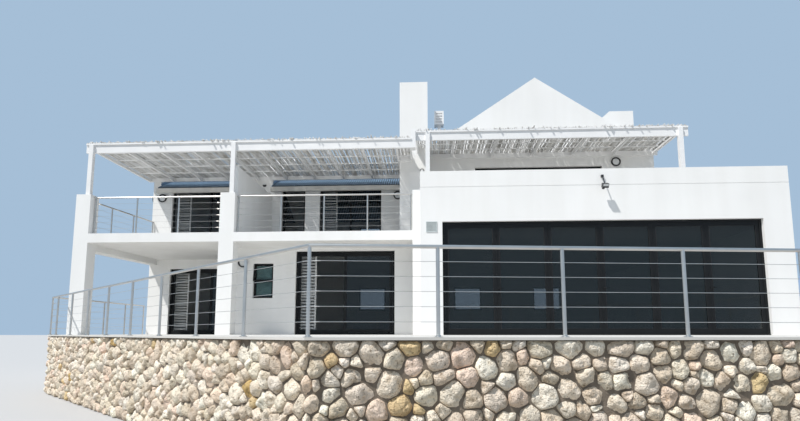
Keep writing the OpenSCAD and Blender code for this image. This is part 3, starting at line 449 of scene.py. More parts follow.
# After the roughness: scale and amount of the drift, then strength, depth and scale of the bump
MAT = {
    "plaster": plaster_material(),
    "rubble_stone": stone_material(),
    "mortar": plain_variation("mortar", (0.22, 0.18, 0.14), 0.95, 9, 0.4, 0.9, 0.012, 50),
    "fill": slot_variation("fill", 0.95, 3, 0.3, 0.7, 0.02, 30),
    "paving": slot_variation("paving", 0.8, 1.5, 0.1, 0.35, 0.002, 90, factor=0.86),
    "stainless": metal_material("stainless", (0.62, 0.6, 0.57), 0.34, (1, 1, 0.05)),
    "white_timber": timber_material(),
    "white_steel": slot_variation("white_steel", 0.42, 2.5, 0.06, 0.12, 0.001, 140),
    "roof_sheet": roof_material("roof_sheet", "X"),
    "main_roof_sheet": roof_material("main_roof_sheet", "Y"),
    "gutter": slot_variation("gutter", 0.45, 3, 0.12, 0.1, 0.001, 120),
    "charcoal_frame": slot_variation("charcoal_frame", 0.45, 4, 0.25, 0.15, 0.0006, 300, factor=0.22,
                                     shine=0.22),
    "door_glass": glass_material("door_glass", 0.55),
    "window_glass": glass_material("window_glass", 0.22),
    "clear_glass": glass_material("clear_glass", 0.12),
    "obscured_glass": plain_variation("obscured_glass", (0.2, 0.38, 0.38), 0.5, 30, 0.15, 0.2, 0.001, 90),
    "louvre": slot_variation("louvre", 0.5, 6, 0.08, 0.25, 0.001, 60, (1, 1, 0.1)),
    "black_fitting": slot_variation("black_fitting", 0.42, 12, 0.3, 0.2, 0.0006, 250),
    "lens": lens_material(),
    "grille": slot_variation("grille", 0.5, 9, 0.15, 0.15, 0.001, 150),
    "gasket": plain_variation("gasket", (0.012, 0.012, 0.013), 0.7, 20, 0.2, 0.2, 0.0006, 200),
}

# Nodes whose glass shows clearer than their slot's
PANES = {"fixed_leaf_glass": "clear_glass", "upper_glass": "window_glass"}
for part in frame["record"]["subparts"]:
    data = frame["nodes"][part["node"]].data
    data.materials.clear()
    data.materials.append(MAT[PANES.get(part["node"], part["material_slot"])])


# Rubble stone walls

STONE_JOINT = 0.0015
MORTAR_DEPTH = 0.075
MORTAR_TINT = (0.3, 0.26, 0.21)
STONE_NODES = ["stone_wall_front", "stone_wall_right", "stone_wall_back", "stone_wall_side",
               "stone_wall_left"]
# Stone sizes, the biggest first, with the tries made to place each
STONE_SIZES = [(0.13, 240), (0.112, 2700), (0.097, 8400), (0.08, 12600), (0.062, 12600), (0.048, 9000)]
# Stone tints with their weights
WALL_TINTS = {
    (0.84, 0.75, 0.63): 6, (0.80, 0.70, 0.58): 5, (0.74, 0.64, 0.52): 4, (0.88, 0.81, 0.71): 6,
    (0.66, 0.57, 0.46): 2, (0.84, 0.68, 0.56): 2, (0.74, 0.57, 0.33): 0.7, (0.66, 0.46, 0.2): 0.35,
}
# Rings and sides of a stone's face on the walls that the camera sees and on the others
SHOWN_MESH = ([1.0, 0.98, 0.9, 0.76, 0.56, 0.3], 20)
PLAIN_MESH = ([1.0, 0.96, 0.8, 0.45], 12)
SHOWN_WALLS = ("stone_wall_front", "stone_wall_left")
# Faces of the stones: radius that is left out, bulge at the rim, crown behind the wall's face, tilts and
# roughness as scales of noise with their heights
SMALLEST = 0.012
BULGE_MAX = 0.04
CROWN = (0.003, 0.02)
TILT = (-0.14, 0.14)
STEEP = (0.4, 1.05)
FACE_DEPTH = 0.045
ROUGH = ((13, 0.026), (36, 0.018))


def wall_edge(node):
    """Outer edge of a wall in plan and the two inner corners behind it, read from its solid."""
    points = sorted({(round(v.co.x, 4), round(v.co.y, 4)) for v in frame["nodes"][node].data.vertices})
    pairs = [(Vector(a), Vector(b)) for i, a in enumerate(points) for b in points[i + 1:]]
    a, b = max(pairs, key=lambda p: (p[0] - p[1]).length)
    lo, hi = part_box("terrace_slab")
    centre = Vector(((lo.x + hi.x) / 2, (lo.y + hi.y) / 2))
    if (b - a).cross(centre - a) < 0:
        a, b = b, a
    inner = [Vector(p) for p in points if Vector(p) not in (a, b)]
    inner.sort(key=lambda p: (p - a).length)
    return a, b, inner[0], inner[1]


EDGES = [wall_edge(n) for n in STONE_NODES]
STARTS = [0.0]
for edge in EDGES:
    STARTS.append(STARTS[-1] + (edge[1] - edge[0]).length)
AROUND = STARTS[-1]
WALL_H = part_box("stone_wall_front")[1].z
CORNER_R = 0.09
CELL = 0.3
COLUMNS = int(AROUND / CELL)


def wall_at(s):
    """Number of the wall at a distance round the plinth."""
    return next(k for k in range(len(EDGES)) if s < STARTS[k + 1])


def around(s):
    """Point and outward direction on the walls' face at a distance round the plinth, with rounded corners."""
    s %= AROUND
    k = wall_at(s)
    a, b = EDGES[k][:2]
    d = (b - a).normalized()
    p = a + d * (s - STARTS[k])
    n = Vector((d.y, -d.x))
    for other, corner, sign in ((k - 1, a, -1), ((k + 1) % len(EDGES), b, 1)):
        gap = (p - corner).length
        if gap < CORNER_R:
            d2 = (EDGES[other][1] - EDGES[other][0]).normalized()
            n2 = Vector((d2.y, -d2.x))
            t = 0.5 * (1 - gap / CORNER_R)
            here, there = corner - sign * d * CORNER_R, corner + sign * d2 * CORNER_R
            p = (1 - t) ** 2 * here + 2 * t * (1 - t) * corner + t * t * there
            n = ((1 - t) * n + t * n2).normalized()
            break
    return p, n


def on_wall(s, z, depth):
    """Point at a depth behind the walls' face."""
    p, n = around(s)
    q = p - n * depth
    return (q.x, q.y, z)


def neighbours(grid, s, z, cells):
    """Stones within some grid cells of a place."""
    column, row = int(s / CELL), int(z / CELL)
    span = range(-cells, cells + 1)
    return [q for i in span for j in span for q in grid.get(((column + i) % COLUMNS, row + j), ())]


def overlap(stone, other):
    """Whether two stones lie closer than their sizes allow. They may lie a little closer side by side."""
    ds = abs(stone[0] - other[0])
    ds = min(ds, AROUND - ds) * 0.93
    return math.hypot(ds, stone[1] - other[1]) < 0.86 * (stone[2] + other[2])


def scatter_stones(rng):
    """Stone centres with sizes, big ones first, on the walls unrolled into one strip."""
    margin = 0.03
    grid = {}
    stones = []
    for size, tries in STONE_SIZES:
        for _ in range(tries):
            s, z = rng.uniform(0, AROUND), rng.uniform(margin, WALL_H - margin)
            stone = (s, z, size * rng.uniform(0.88, 1.12))
            if not any(overlap(stone, q) for q in neighbours(grid, s, z, 1)):
                grid.setdefault((int(s / CELL) % COLUMNS, int(z / CELL)), []).append(stone)
                stones.append(stone)
    return stones, grid


def stone_cell(stone, near):
    """Outline of one stone: its share of the wall between its neighbours, less the joint."""
    s0, z0, r0 = stone
    side, low, high = 0.5, 0.006 - z0, WALL_H - z0 - 0.002
    polygon = [(-side, low), (side, low), (side, high), (-side, high)]
    for s1, z1, r1 in near:
        ds = s1 - s0
        ds -= round(ds / AROUND) * AROUND
        dz = z1 - z0
        gap = math.hypot(ds, dz)
        if gap < 1e-6:
            continue
        reach = (gap * gap + r0 * r0 - r1 * r1) / (2 * gap) - STONE_JOINT
        nx, nz = ds / gap, dz / gap
        cut = []
        for i, p in enumerate(polygon):
            q = polygon[(i + 1) % len(polygon)]
            fp, fq = p[0] * nx + p[1] * nz - reach, q[0] * nx + q[1] * nz - reach
            if fp <= 0:
                cut.append(p)
            if fp * fq < 0:
                t = fp / (fp - fq)
                cut.append((p[0] + t * (q[0] - p[0]), p[1] + t * (q[1] - p[1])))
        polygon = cut
        if len(polygon) < 3:
            return None
    return polygon


def ray_reach(polygon, cx, cz, angle):
    """Distance from a point to the polygon's edge at an angle."""
    dx, dz = math.cos(angle), math.sin(angle)
    best = 1.0
    for i, p in enumerate(polygon):
        q = polygon[(i + 1) % len(polygon)]
        ex, ez = q[0] - p[0], q[1] - p[1]
        det = ex * dz - ez * dx
        if abs(det) < 1e-9:
            continue
        t = (ex * (p[1] - cz) - ez * (p[0] - cx)) / det
        u = (dx * (p[1] - cz) - dz * (p[0] - cx)) / det
        if t > 0 and -1e-6 <= u <= 1 + 1e-6:
            best = min(best, t)
    return best


def add_stone(build, rng, stone, near, rings, sides):
    """One stone: broken faces that meet at blunt ridges, with its edges rounded back into the mortar."""
    polygon = stone_cell(stone, near)
    if not polygon:
        return
    cx = sum(p[0] for p in polygon) / len(polygon)
    cz = sum(p[1] for p in polygon) / len(polygon)
    reach = [ray_reach(polygon, cx, cz, TAU * k / sides) for k in range(sides)]
    if min(reach) < SMALLEST:
        return
    limit = sorted(reach)[sides // 2] * 1.5
    reach = [min(r, limit + 0.4 * (r - limit)) for r in reach]
    blunt = [(reach[k - 1] + 6 * reach[k] + reach[(k + 1) % sides]) / 7.9 for k in range(sides)]
    reach = [min(pair) * rng.uniform(0.96, 1.0) for pair in zip(reach, blunt)]
    mean = sum(reach) / sides
    bulge = min(BULGE_MAX, 0.3 * mean + 0.008)
    back = MORTAR_DEPTH + 0.02
    top = rng.uniform(*CROWN)
    planes = [(rng.uniform(*TILT), rng.uniform(*TILT), 0.0)]
    for _ in range(rng.choice((2, 3, 4))):
        angle, steep = rng.uniform(0, TAU), rng.uniform(*STEEP)
        ridge = -steep * rng.uniform(0.0, 0.6) * mean
        planes.append((steep * math.cos(angle), steep * math.sin(angle), ridge))
    seed = Vector((rng.uniform(0, 99), rng.uniform(0, 99), rng.uniform(0, 99)))
    power = rng.uniform(3.5, 8.0)
    verts = []
    for f in rings + [0.0]:
        for k in range(sides if f else 1):
            angle = TAU * k / sides
            x = f * reach[k] * math.cos(angle)
            z = f * reach[k] * math.sin(angle)
            here = Vector((x, z, 0))
            rough = sum(noise.noise(seed + here * scale) * height for scale, height in ROUGH)
            face = max(px * x + pz * z + at for px, pz, at in planes)
            depth = top + min(FACE_DEPTH, face) + bulge * f ** power + rough * (1 - f ** 6)
            if f == 1.0:
                depth = back
            verts.append(on_wall(stone[0] + cx + x, stone[1] + cz + z, min(max(depth, 0.001), back)))
    faces = []
    for r in range(len(rings) - 1):
        for k in range(sides):
            j = (k + 1) % sides
            a, b = r * sides, (r + 1) * sides
            faces.append((a + k, a + j, b + j, b + k))
    a, tip = (len(rings) - 1) * sides, len(rings) * sides
    faces += [(a + k, a + (k + 1) % sides, tip) for k in range(sides)]
    tint = rng.choices(list(WALL_TINTS), list(WALL_TINTS.values()))[0]
    level = rng.uniform(0.88, 1.08)
    build.tint = tuple(min(0.9, c * level * rng.uniform(0.985, 1.015)) for c in tint)
    build.add(verts, faces)


def add_mortar(build, k):
    """Wavy bed of mortar behind the stones of wall k, closed round its back."""
    inner_a, inner_b = EDGES[k][2:]
    length = STARTS[k + 1] - STARTS[k]
    pitch, rows, wavy = 0.08, 12, 0.014
    steps = int(length / pitch)
    build.mark, build.tint = 1, MORTAR_TINT
    verts = []
    for i in range(steps + 1):
        s = min(STARTS[k] + length * i / steps, STARTS[k + 1] - 1e-5)
        for j in range(rows + 1):
            z = WALL_H * j / rows
            wave = noise.noise(Vector((s * 4, z * 4, 3))) * wavy
            verts.append(on_wall(s, z, MORTAR_DEPTH + (wave if 0 < j < rows else 0)))
    step = rows + 1
    faces = [(i * step + j, (i + 1) * step + j, (i + 1) * step + j + 1, i * step + j + 1)
             for i in range(steps) for j in range(rows)]
    last = steps * step
    base = len(verts)
    verts += [(p.x, p.y, z) for p in (inner_a, inner_b) for z in (0, WALL_H)]
    faces.append((base, base + 2, base + 3, base + 1)[::-1])
    faces.append(tuple(range(step)) + (base + 1, base))
    faces.append((tuple(range(last, last + step)) + (base + 3, base + 2))[::-1])
    faces.append(tuple(i * step for i in range(steps + 1))[::-1] + (base, base + 2))
    faces.append(tuple(i * step + rows for i in range(steps + 1)) + (base + 3, base + 1))
    build.add(verts, faces)


def stone_walls():
    rng = random.Random(11)
    stones, grid = scatter_stones(rng)
    builds = [Build() for _ in EDGES]
    for stone in stones:
        near = [q for q in neighbours(grid, stone[0], stone[1], 2) if q != stone]
        k = wall_at(stone[0])
        rings, sides = SHOWN_MESH if STONE_NODES[k] in SHOWN_WALLS else PLAIN_MESH
        add_stone(builds[k], rng, stone, near, rings, sides)
    for k, build in enumerate(builds):
        add_mortar(build, k)
        build.piece(STONE_NODES[k] + "_stones", "rubble_stone", [MAT["rubble_stone"], MAT["mortar"]],
                    replaces=(STONE_NODES[k],), angle=75)


stone_walls()


# Corrugated roofs

SHEET_LIFT = 0.003
SHEET_THICK = 0.0015
SHEET_GAP = 0.004
EAVE_OVER = 0.035
MAIN_OVER = 0.1
VALLEY_CLEAR = 0.012
VERGE_FOOT = 0.022
VERGE_THICK = 0.004
VERGE_W = 0.06


def sheet(build, columns, near, far):
    """Corrugated sheet: near(c) and far(c) give the ends of the line at column c, at the roof's face."""
    verts = []
    for c in columns:
        wave = SHEET_LIFT + RIB_H * (1 + math.sin(TAU * c / RIB))
        for end in (near(c), far(c)):
            verts += [(end[0], end[1], end[2] + wave), (end[0], end[1], end[2] + wave - SHEET_THICK)]
    faces = []
    n = len(columns)
    for i in range(n - 1):
        a, b = 4 * i, 4 * i + 4
        faces += [(a, b, b + 2, a + 2), (a + 1, a + 3, b + 3, b + 1)]
        faces += [(a, a + 1, b + 1, b), (a + 2, b + 2, b + 3, a + 3)]
    faces += [(0, 2, 3, 1), (4 * n - 4, 4 * n - 3, 4 * n - 1, 4 * n - 2)]
    build.add(verts, faces)


def columns_between(lo, hi):
    n = max(2, round((hi - lo) / (RIB / 8)))
    return [lo + (hi - lo) * i / n for i in range(n + 1)]


def valley_x():
    """Where the wing's ridge meets the main roof."""
    return RIDGE_X - (APEX - COPING - wing_top(WING_RIDGE_Y)) / SLOPE


def wing_low(x):
    """Nearest depth of the wing's roof at a place x, at the eave or in the valley."""
    if x <= MAIN_LEFT:
        return ROOF_FRONT - EAVE_OVER
    return ROOF_FRONT + max(0.0, main_top(x) + VALLEY_CLEAR - EAVE) / PITCH


def ridge_cap(build, along, lo, hi, at, top, slope):
    """Folded cap over a ridge, along x or y."""
    wing, flat, lift, lip, crown = 0.13, 0.02, 0.026, 0.004, 0.038
    low = top - wing * slope + lift
    build.prism([(at - wing, low), (at - wing, low + lip), (at - flat, top + crown), (at + flat, top + crown),
                 (at + wing, low + lip), (at + wing, low), (at, top + lift)], lo, hi, along)


def verge(build, axis, at, side, ridge, eave, upstand):
    """Flashing down a sloping edge: a flat strip on the sheet and an upstand against the wall."""
    (u0, z0), (u1, z1) = ridge, eave
    foot = VERGE_FOOT
    for wide, top in ((VERGE_W, foot + VERGE_THICK), (VERGE_THICK, upstand)):
        lo, hi = sorted((at, at + side * wide))
        build.prism([(u0, z0 + foot), (u1, z1 + foot), (u1, z1 + top), (u0, z0 + top)], lo, hi, axis)


def wing_sheets():
    build = Build()
    ridge = wing_top(WING_RIDGE_Y)
    for lo, hi in ((WING_LEFT + WALL, PARAPET[0]), (PARAPET[1], valley_x())):
        lo, hi = lo + SHEET_GAP, hi - SHEET_GAP
        columns = columns_between(lo, hi)
        sheet(build, columns, lambda c: (c, wing_low(c), wing_top(wing_low(c))),
              lambda c: (c, WING_RIDGE_Y, ridge))
        sheet(build, columns, lambda c: (c, 2 * WING_RIDGE_Y - wing_low(c), wing_top(wing_low(c))),
              lambda c: (c, WING_RIDGE_Y, ridge))
        ridge_cap(build, "x", lo, hi, WING_RIDGE_Y, ridge, PITCH)
    for x, side in ((WING_LEFT + WALL, 1), (PARAPET[0], -1), (PARAPET[1], 1)):
        for y in (BALCONY_D, 2 * WING_RIDGE_Y - BALCONY_D):
            verge(build, "x", x, side, (WING_RIDGE_Y, ridge), (y, wing_top(y)), upstand=0.1)
    build.piece("wing_roof_sheets", "roof_sheet", [MAT["roof_sheet"]], angle=30)


def main_sheets():
    build = Build()
    ridge = main_top(RIDGE_X)
    lo, hi = MAIN_FRONT + WALL + SHEET_GAP, HOUSE_D - WALL - SHEET_GAP
    columns = columns_between(lo, hi)
    eaves = (MAIN_LEFT, MAIN_RIGHT + MAIN_OVER)
    for x in eaves:
        sheet(build, columns, lambda c: (x, c, main_top(x)), lambda c: (RIDGE_X, c, ridge))
    ridge_cap(build, "y", lo, hi, RIDGE_X, ridge, SLOPE)
    for y, side in ((lo, 1), (hi, -1)):
        for x in eaves:
            verge(build, "y", y, side, (RIDGE_X, ridge), (x, main_top(x)), upstand=0.09)
    build.piece("main_roof_sheets", "roof_sheet", [MAT["main_roof_sheet"]], angle=30)


wing_sheets()
main_sheets()


# Poles of the pergolas

# For each layer: radii, sideways lean, height of its underside and spacing
POLE_LAYERS = [
    ((0.016, 0.0225), 0.02, 0, (0.034, 0.05)),
    ((0.011, 0.018), 0.16, 0.04, (0.08, 0.2)),
]
POLE_STEPS = 6
chimney_lo, chimney_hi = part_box("chimney")


def crooked(build, rng, a, b, bend, r):
    """One crooked pole from a to b."""
    points, radii = [], []
    for k in range(POLE_STEPS + 1):
        t = k / POLE_STEPS
        p = a.lerp(b, t)
        swing = math.sin(math.pi * t)
        points.append((p.x + bend.x * swing + rng.uniform(-0.003, 0.003), p.y + bend.y * swing,
                       p.z + bend.z * swing + rng.uniform(-0.002, 0.002)))
        radii.append(r * rng.uniform(0.88, 1.06))
    build.tint = shade(SLOTS["white_timber"], rng.uniform(0.66, 1.0))
    build.tube(points, radii, 8)


def lay_pole(build, rng, x0, x1, near, far, z, r, bend):
    """One pole from near to far, in two lengths where the chimney stands in its way."""
    beside, gap, shortest = 0.03, 0.002, 0.1
    spans = [(near, far)]
    if max(x0, x1) > chimney_lo.x - beside and min(x0, x1) < chimney_hi.x + beside:
        spans = [(near, chimney_lo.y - gap)]
        if far > chimney_hi.y + shortest:
            spans.append((chimney_hi.y + gap, far))
    for span in spans:
        a, b = (Vector((x0 + (x1 - x0) * (y - near) / (far - near), y, z)) for y in span)
        crooked(build, rng, a, b, bend, r)


def poles(name, node, seed):
    """Crooked painted poles in place of the even ones: a close layer, and loose ones lying across it."""
    rng = random.Random(seed)
    lo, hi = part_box(node)
    build = Build()
    beam, in_line, clear = lo.y + 0.25, 0.86, 0.006
    for radii, tilt, foot, pitch in POLE_LAYERS:
        x = lo.x + 0.022
        while x < hi.x - 0.02:
            r = rng.uniform(*radii)
            near = beam + (rng.uniform(-0.03, 0.01) if rng.random() < in_line else rng.uniform(-0.12, -0.03))
            far = hi.y - rng.uniform(0.0, 0.03)
            lean = rng.uniform(-tilt, tilt)
            low, high = lo.x + r * 1.1 + clear, hi.x - r * 1.1 - clear
            x0, x1 = (min(max(x + lean * side, low), high) for side in (-0.5, 0.5))
            inside = low + 0.03 < min(x0, x1) and max(x0, x1) < high - 0.03
            bend = Vector((rng.uniform(-0.022, 0.022) if inside else 0, 0, rng.uniform(0, 0.008)))
            lay_pole(build, rng, x0, x1, near, far, lo.z + (foot + r), r, bend)
            x += rng.uniform(*pitch)
    build.piece(name, "white_timber", [MAT["white_timber"]], replaces=(node,), angle=60)


poles("left_pergola_latte", "left_pergola_poles", 3)
poles("right_pergola_latte", "right_pergola_poles", 4)


# Railings

PLATE = [(0, 0), (0.05, 0), (0.05, 0.006), (0.046, 0.008), (0.028, 0.008), (0.026, 0.024), (0.0225, 0.026),
         (0.0215, 0.026)]
BOLT = [(0.0065, 0), (0.0065, 0.004), (0.004, 0.006), (0, 0.006)]
# Lengths of a cable's end fitting: from, to and radius, measured from the post's face
CABLE_END = [(0, 0.01, 0.0075), (0.01, 0.045, 0.0045), (0.045, 0.07, 0.006), (0.07, 0.1, 0.0042)]


def flange(build, p, z):
    """Round base plate with a collar and four bolts."""
    build.revolve(PLATE, Matrix.Translation((p.x, p.y, z)), 28)
    bolts, circle, top = 4, 0.037, 0.008
    for k in range(bolts):
        angle = TAU * (k + 0.5) / bolts
        bolt = (p.x + circle * math.cos(angle), p.y + circle * math.sin(angle), z + top)
        build.revolve(BOLT, Matrix.Translation(bolt), 6)


def cable_ends(build, a, b, z0, rail_h):
    """Swaged fittings and a turnbuckle on each cable beside the end posts a and b."""
    d = (b - a).normalized()
    pitch = (rail_h - HANDRAIL_R) / (CABLES + 1)
    for k in range(1, CABLES + 1):
        z = z0 + k * pitch
        for end, out in ((a, d), (b, -d)):
            p = end + out * 0.022
            for s0, s1, radius in CABLE_END:
                q0, q1 = p + out * s0, p + out * s1
                build.tube([(q0.x, q0.y, z), (q1.x, q1.y, z)], [radius, radius], 8)


def terrace_rails():
    turn = Vector((math.cos(FRONT_TURN), math.sin(FRONT_TURN)))
    right_corner = CORNER + turn * RAIL_BAY * FRONT_BAYS
    side_from, side_to = SIDE_RAIL
    left_dir = (side_from - CORNER).normalized()
    right_end = Vector((right_corner.x, RIGHT_RAIL_END))
    runs = {
        "front": (CORNER, right_corner, [CORNER + turn * RAIL_BAY * k for k in range(FRONT_BAYS + 1)]),
        "left": (CORNER, side_from, [CORNER + left_dir * RAIL_BAY * (k + 1) for k in range(LEFT_POSTS)]),
        "side": (side_from, side_to, [side_from.lerp(side_to, k / SIDE_BAYS) for k in range(SIDE_BAYS + 1)]),
        "right": (right_corner, right_end,
                  [right_corner.lerp(right_end, (k + 1) / RIGHT_BAYS) for k in range(RIGHT_BAYS)]),
    }
    for key, (a, b, posts) in runs.items():
        build = Build()
        for p in posts:
            flange(build, p, FLOOR)
        cable_ends(build, a, b, FLOOR, RAIL_H)
        build.piece(f"rail_fittings_{key}", "stainless", [MAT["stainless"]], angle=35)


def balcony_rails():
    build = Build()
    pier_w, pier_d, edge = 0.41, 0.38, 0.06
    y = pier_d / 2
    spans = [
        (Vector((BALCONY_LEFT + pier_w, y)), Vector((ROOM_LEFT, y)), 3, 0.042),
        (Vector((ROOM_LEFT + pier_w, y)), Vector((-0.226, y)), 4, 0.042),
        (Vector((BALCONY_LEFT + edge, pier_d)), Vector((WING_LEFT + edge, BALCONY_D)), 3, 0.0474),
    ]
    for a, b, bays, gap in spans:
        d = (b - a).normalized()
        first, last = a + d * gap, b - d * gap
        for k in range(bays + 1):
            flange(build, first.lerp(last, k / bays), UPPER)
        cable_ends(build, first, last, UPPER, BALCONY_RAIL_H)
    build.piece("rail_fittings_balcony", "stainless", [MAT["stainless"]], angle=35)


terrace_rails()
balcony_rails()


# Wall fittings

LAMP_R = 0.145
SMALL_LAMP_R = 0.065
# Profiles of a round lamp: shares of its radius, with heights for the large one
LAMP_BODY = [(0, 0), (0.93, 0), (0.96, 0.012), (0.96, 0.03), (1, 0.034), (1, 0.05), (0.97, 0.058),
             (0.9, 0.06), (0.77, 0.058), (0.73, 0.05), (0.72, 0.03)]
LAMP_LENS = [(0.725, 0.032), (0.7, 0.042), (0.58, 0.05), (0.4, 0.055), (0.2, 0.0575), (0, 0.058)]
AHEAD = (0, -1, 0)


def lamp(build, x, y, z, out=AHEAD, r=LAMP_R):
    """Round bulkhead lamp: a body, a thick stepped rim with two screws and a domed lens."""
    place = facing((x, y, z), out)
    k = r / LAMP_R
    for mark, profile in enumerate((LAMP_BODY, LAMP_LENS)):
        build.mark = mark
        build.revolve([(r * share, h * k) for share, h in profile], place, 40)
    build.mark = 0
    for side in (1, -1):
        screw = place @ Matrix.Translation((0, side * r * 0.86, 0.0595 * k))
        build.revolve([(0.008 * k, 0), (0.008 * k, 0.002), (0, 0.003)], screw, 10)


def hooded_lamp(build, x, y, z):
    """Small round lamp whose upper half is a pale hood over a dark lower half."""
    r = SMALL_LAMP_R
    build.mark = 0
    build.revolve([(0, 0), (r, 0), (r, 0.012), (r * 0.94, 0.02), (r * 0.6, 0.03), (0, 0.034)],
                  facing((x, y, z), AHEAD), 32)
    build.mark = 1
    rows, columns = 6, 16
    verts = []
    for i in range(rows + 1):
        lift = math.pi / 2 * i / rows
        for k in range(columns + 1):
            angle = math.pi * k / columns
            verts.append((x + r * math.cos(angle) * math.cos(lift * 0.35) * 0.99,
                          y - 0.012 - 0.04 * math.sin(lift), z + r * math.sin(angle) * math.cos(lift)))
    step = columns + 1
    build.add(verts, [(i * step + k, i * step + k + 1, (i + 1) * step + k + 1, (i + 1) * step + k)
                      for i in range(rows) for k in range(columns)])
    build.mark = 0


def lamps():
    build = Build()
    upper = UPPER + 1.88
    lamp(build, WING_LEFT + 0.34, BALCONY_D, upper)
    lamp(build, WING_LEFT, BALCONY_D + 0.19, upper, (-1, 0, 0))
    lamp(build, chimney_lo.x - 0.16, BALCONY_D, upper)
    lamp(build, 6.0, MAIN_FRONT, UPPER + 2.53)
    lamp(build, ROOM_LEFT + 0.284, ROOM_FRONT, FLOOR + 2.09)
    lamp(build, MAIN_LEFT - 0.18, chimney_lo.y, UPPER + 2.16, r=SMALL_LAMP_R)
    hooded_lamp(build, PARAPET[1] - 0.295, BALCONY_D, EAVE + 0.1)
    build.piece("bulkhead_lamps", "black_fitting", [MAT["black_fitting"], MAT["lens"]],
                replaces=("wall_lamps",))


def floodlight():
    """Glass face, cooling ribs and the sensor's ring on the floodlight's head."""
    lo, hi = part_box("floodlight")
    middle = ((lo.x + hi.x) / 2, hi.y - 0.2, hi.z - 0.297)
    head = Matrix.Translation(middle) @ Matrix.Rotation(math.radians(25), 4, "X")
    build = Build()

    def put(a, b):
        at = len(build.verts)
        build.box(a, b, 0.0015)
        build.verts[at:] = [tuple(head @ Vector(v)) for v in build.verts[at:]]

    side, low, high, rim, front = 0.0675, -0.02, 0.05, 0.008, -0.055
    out = front - 0.006
    for x0, x1, z0, z1 in ((-side, side, high - rim, high), (-side, side, low, low + rim),
                           (-side, rim - side, low + rim, high - rim),
                           (side - rim, side, low + rim, high - rim)):
        put((x0, out, z0), (x1, front, z1))
    for k in range(7):
        c = -0.054 + k * 0.018
        put((c - 0.0025, 0.035, -0.045), (c + 0.0025, 0.06, 0.045))
    build.mark = 1
    put((rim - side, front - 0.003, low + rim), (side - rim, front + 0.001, high - rim))
    sensor = head @ Matrix.Translation((0.031 - side, 0, -0.081)) @ Matrix.Rotation(math.pi, 4, "X")
    build.revolve([(0.022, 0), (0.022, 0.004), (0.016, 0.012), (0.008, 0.016), (0, 0.017)], sensor, 24)
    build.piece("floodlight_face", "black_fitting", [MAT["black_fitting"], MAT["lens"]], angle=35)


def grille():
    """Wall grille: a frame around tilted slats."""
    lo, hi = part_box("vent_grille")
    build = Build()
    rim, slats = 0.016, 10
    build.rim(lo, hi, rim)
    pitch = (hi.z - lo.z - 2 * rim) / slats
    for k in range(slats):
        z = lo.z + rim + k * pitch
        build.prism([(lo.y + 0.001, z + 0.001), (lo.y + 0.003, z), (hi.y - 0.001, z + pitch * 0.75),
                     (hi.y - 0.003, z + pitch * 0.8)], lo.x + rim, hi.x - rim, "x")
    build.box((lo.x + rim, hi.y - 0.0015, lo.z + rim), (hi.x - rim, hi.y, hi.z - rim), 0.0002)
    build.piece("vent_grille_slats", "grille", [MAT["grille"]], replaces=("vent_grille",), angle=30)


lamps()
floodlight()
grille()


# Louvre shutters

def shutters():
    """Shutters with tilted slats in place of the flat ones."""
    build = Build()
    wide, deep, stile, pitch, bevel = 0.5, 0.035, 0.05, 0.09, 0.003
    behind = WALL + 0.02
    upper_h = 2.14 - DOOR_FRAME
    leaves = [
        (ROOM_LEFT + 1.84, ROOM_FRONT, FLOOR, 2.415 - DOOR_FRAME),
        (WING_LEFT + 0.73, BALCONY_D, FLOOR, 2.2 - DOOR_FRAME),
        (WING_LEFT + 0.68, BALCONY_D, UPPER, upper_h),
        (UPPER_RIGHT, BALCONY_D, UPPER, upper_h),
    ]
    for opening, wall, z, h in leaves:
        x, y = opening + DOOR_FRAME, wall + behind
        x0, x1 = x + stile, x + wide - stile
        build.box((x, y, z), (x0, y + deep, z + h), bevel)
        build.box((x1, y, z), (x + wide, y + deep, z + h), bevel)
        rails = (0, h / 2 - stile / 2, h - stile)
        for low in rails:
            build.box((x0, y + 0.002, z + low), (x1, y + deep - 0.002, z + low + stile), bevel)
        for low, high in ((stile, rails[1]), (rails[1] + stile, rails[2])):
            count = int((high - low) / pitch)
            for k in range(count):
                c = z + low + (k + 0.5) * (high - low) / count
                build.prism([(y + 0.001, c - 0.023), (y + 0.004, c - 0.027), (y + deep - 0.001, c + 0.023),
                             (y + deep - 0.004, c + 0.027)], x0, x1, "x")
    build.piece("louvre_shutter_slats", "louvre", [MAT["louvre"]], replaces=("louvre_shutters",), angle=30)


shutters()


# Doors and windows

HINGE = [(0, 0), (0.008, 0), (0.008, 0.032), (0.0065, 0.033), (0.0065, 0.035), (0.008, 0.036),
         (0.008, 0.066), (0.0065, 0.067), (0.0065, 0.069), (0.008, 0.07), (0.008, 0.1), (0, 0.1)]


def gasket(build, x0, x1, z0, z1, y, wide, proud):
    """Rubber seal around a pane on a leaf's face."""
    build.rim((x0, y - proud, z0), (x1, y + 0.004, z1), wide, 0.001)


def hinge(build, x, y, z):
    """Hinge of three knuckles with its flaps on both leaves, its middle at z."""
    build.revolve(HINGE, Matrix.Translation((x, y - 0.009, z - 0.05)), 14)
    wide, high = 0.028, 0.046
    build.box((x - wide, y - 0.004, z - high), (x + wide, y + 0.001, z + high), 0.001)


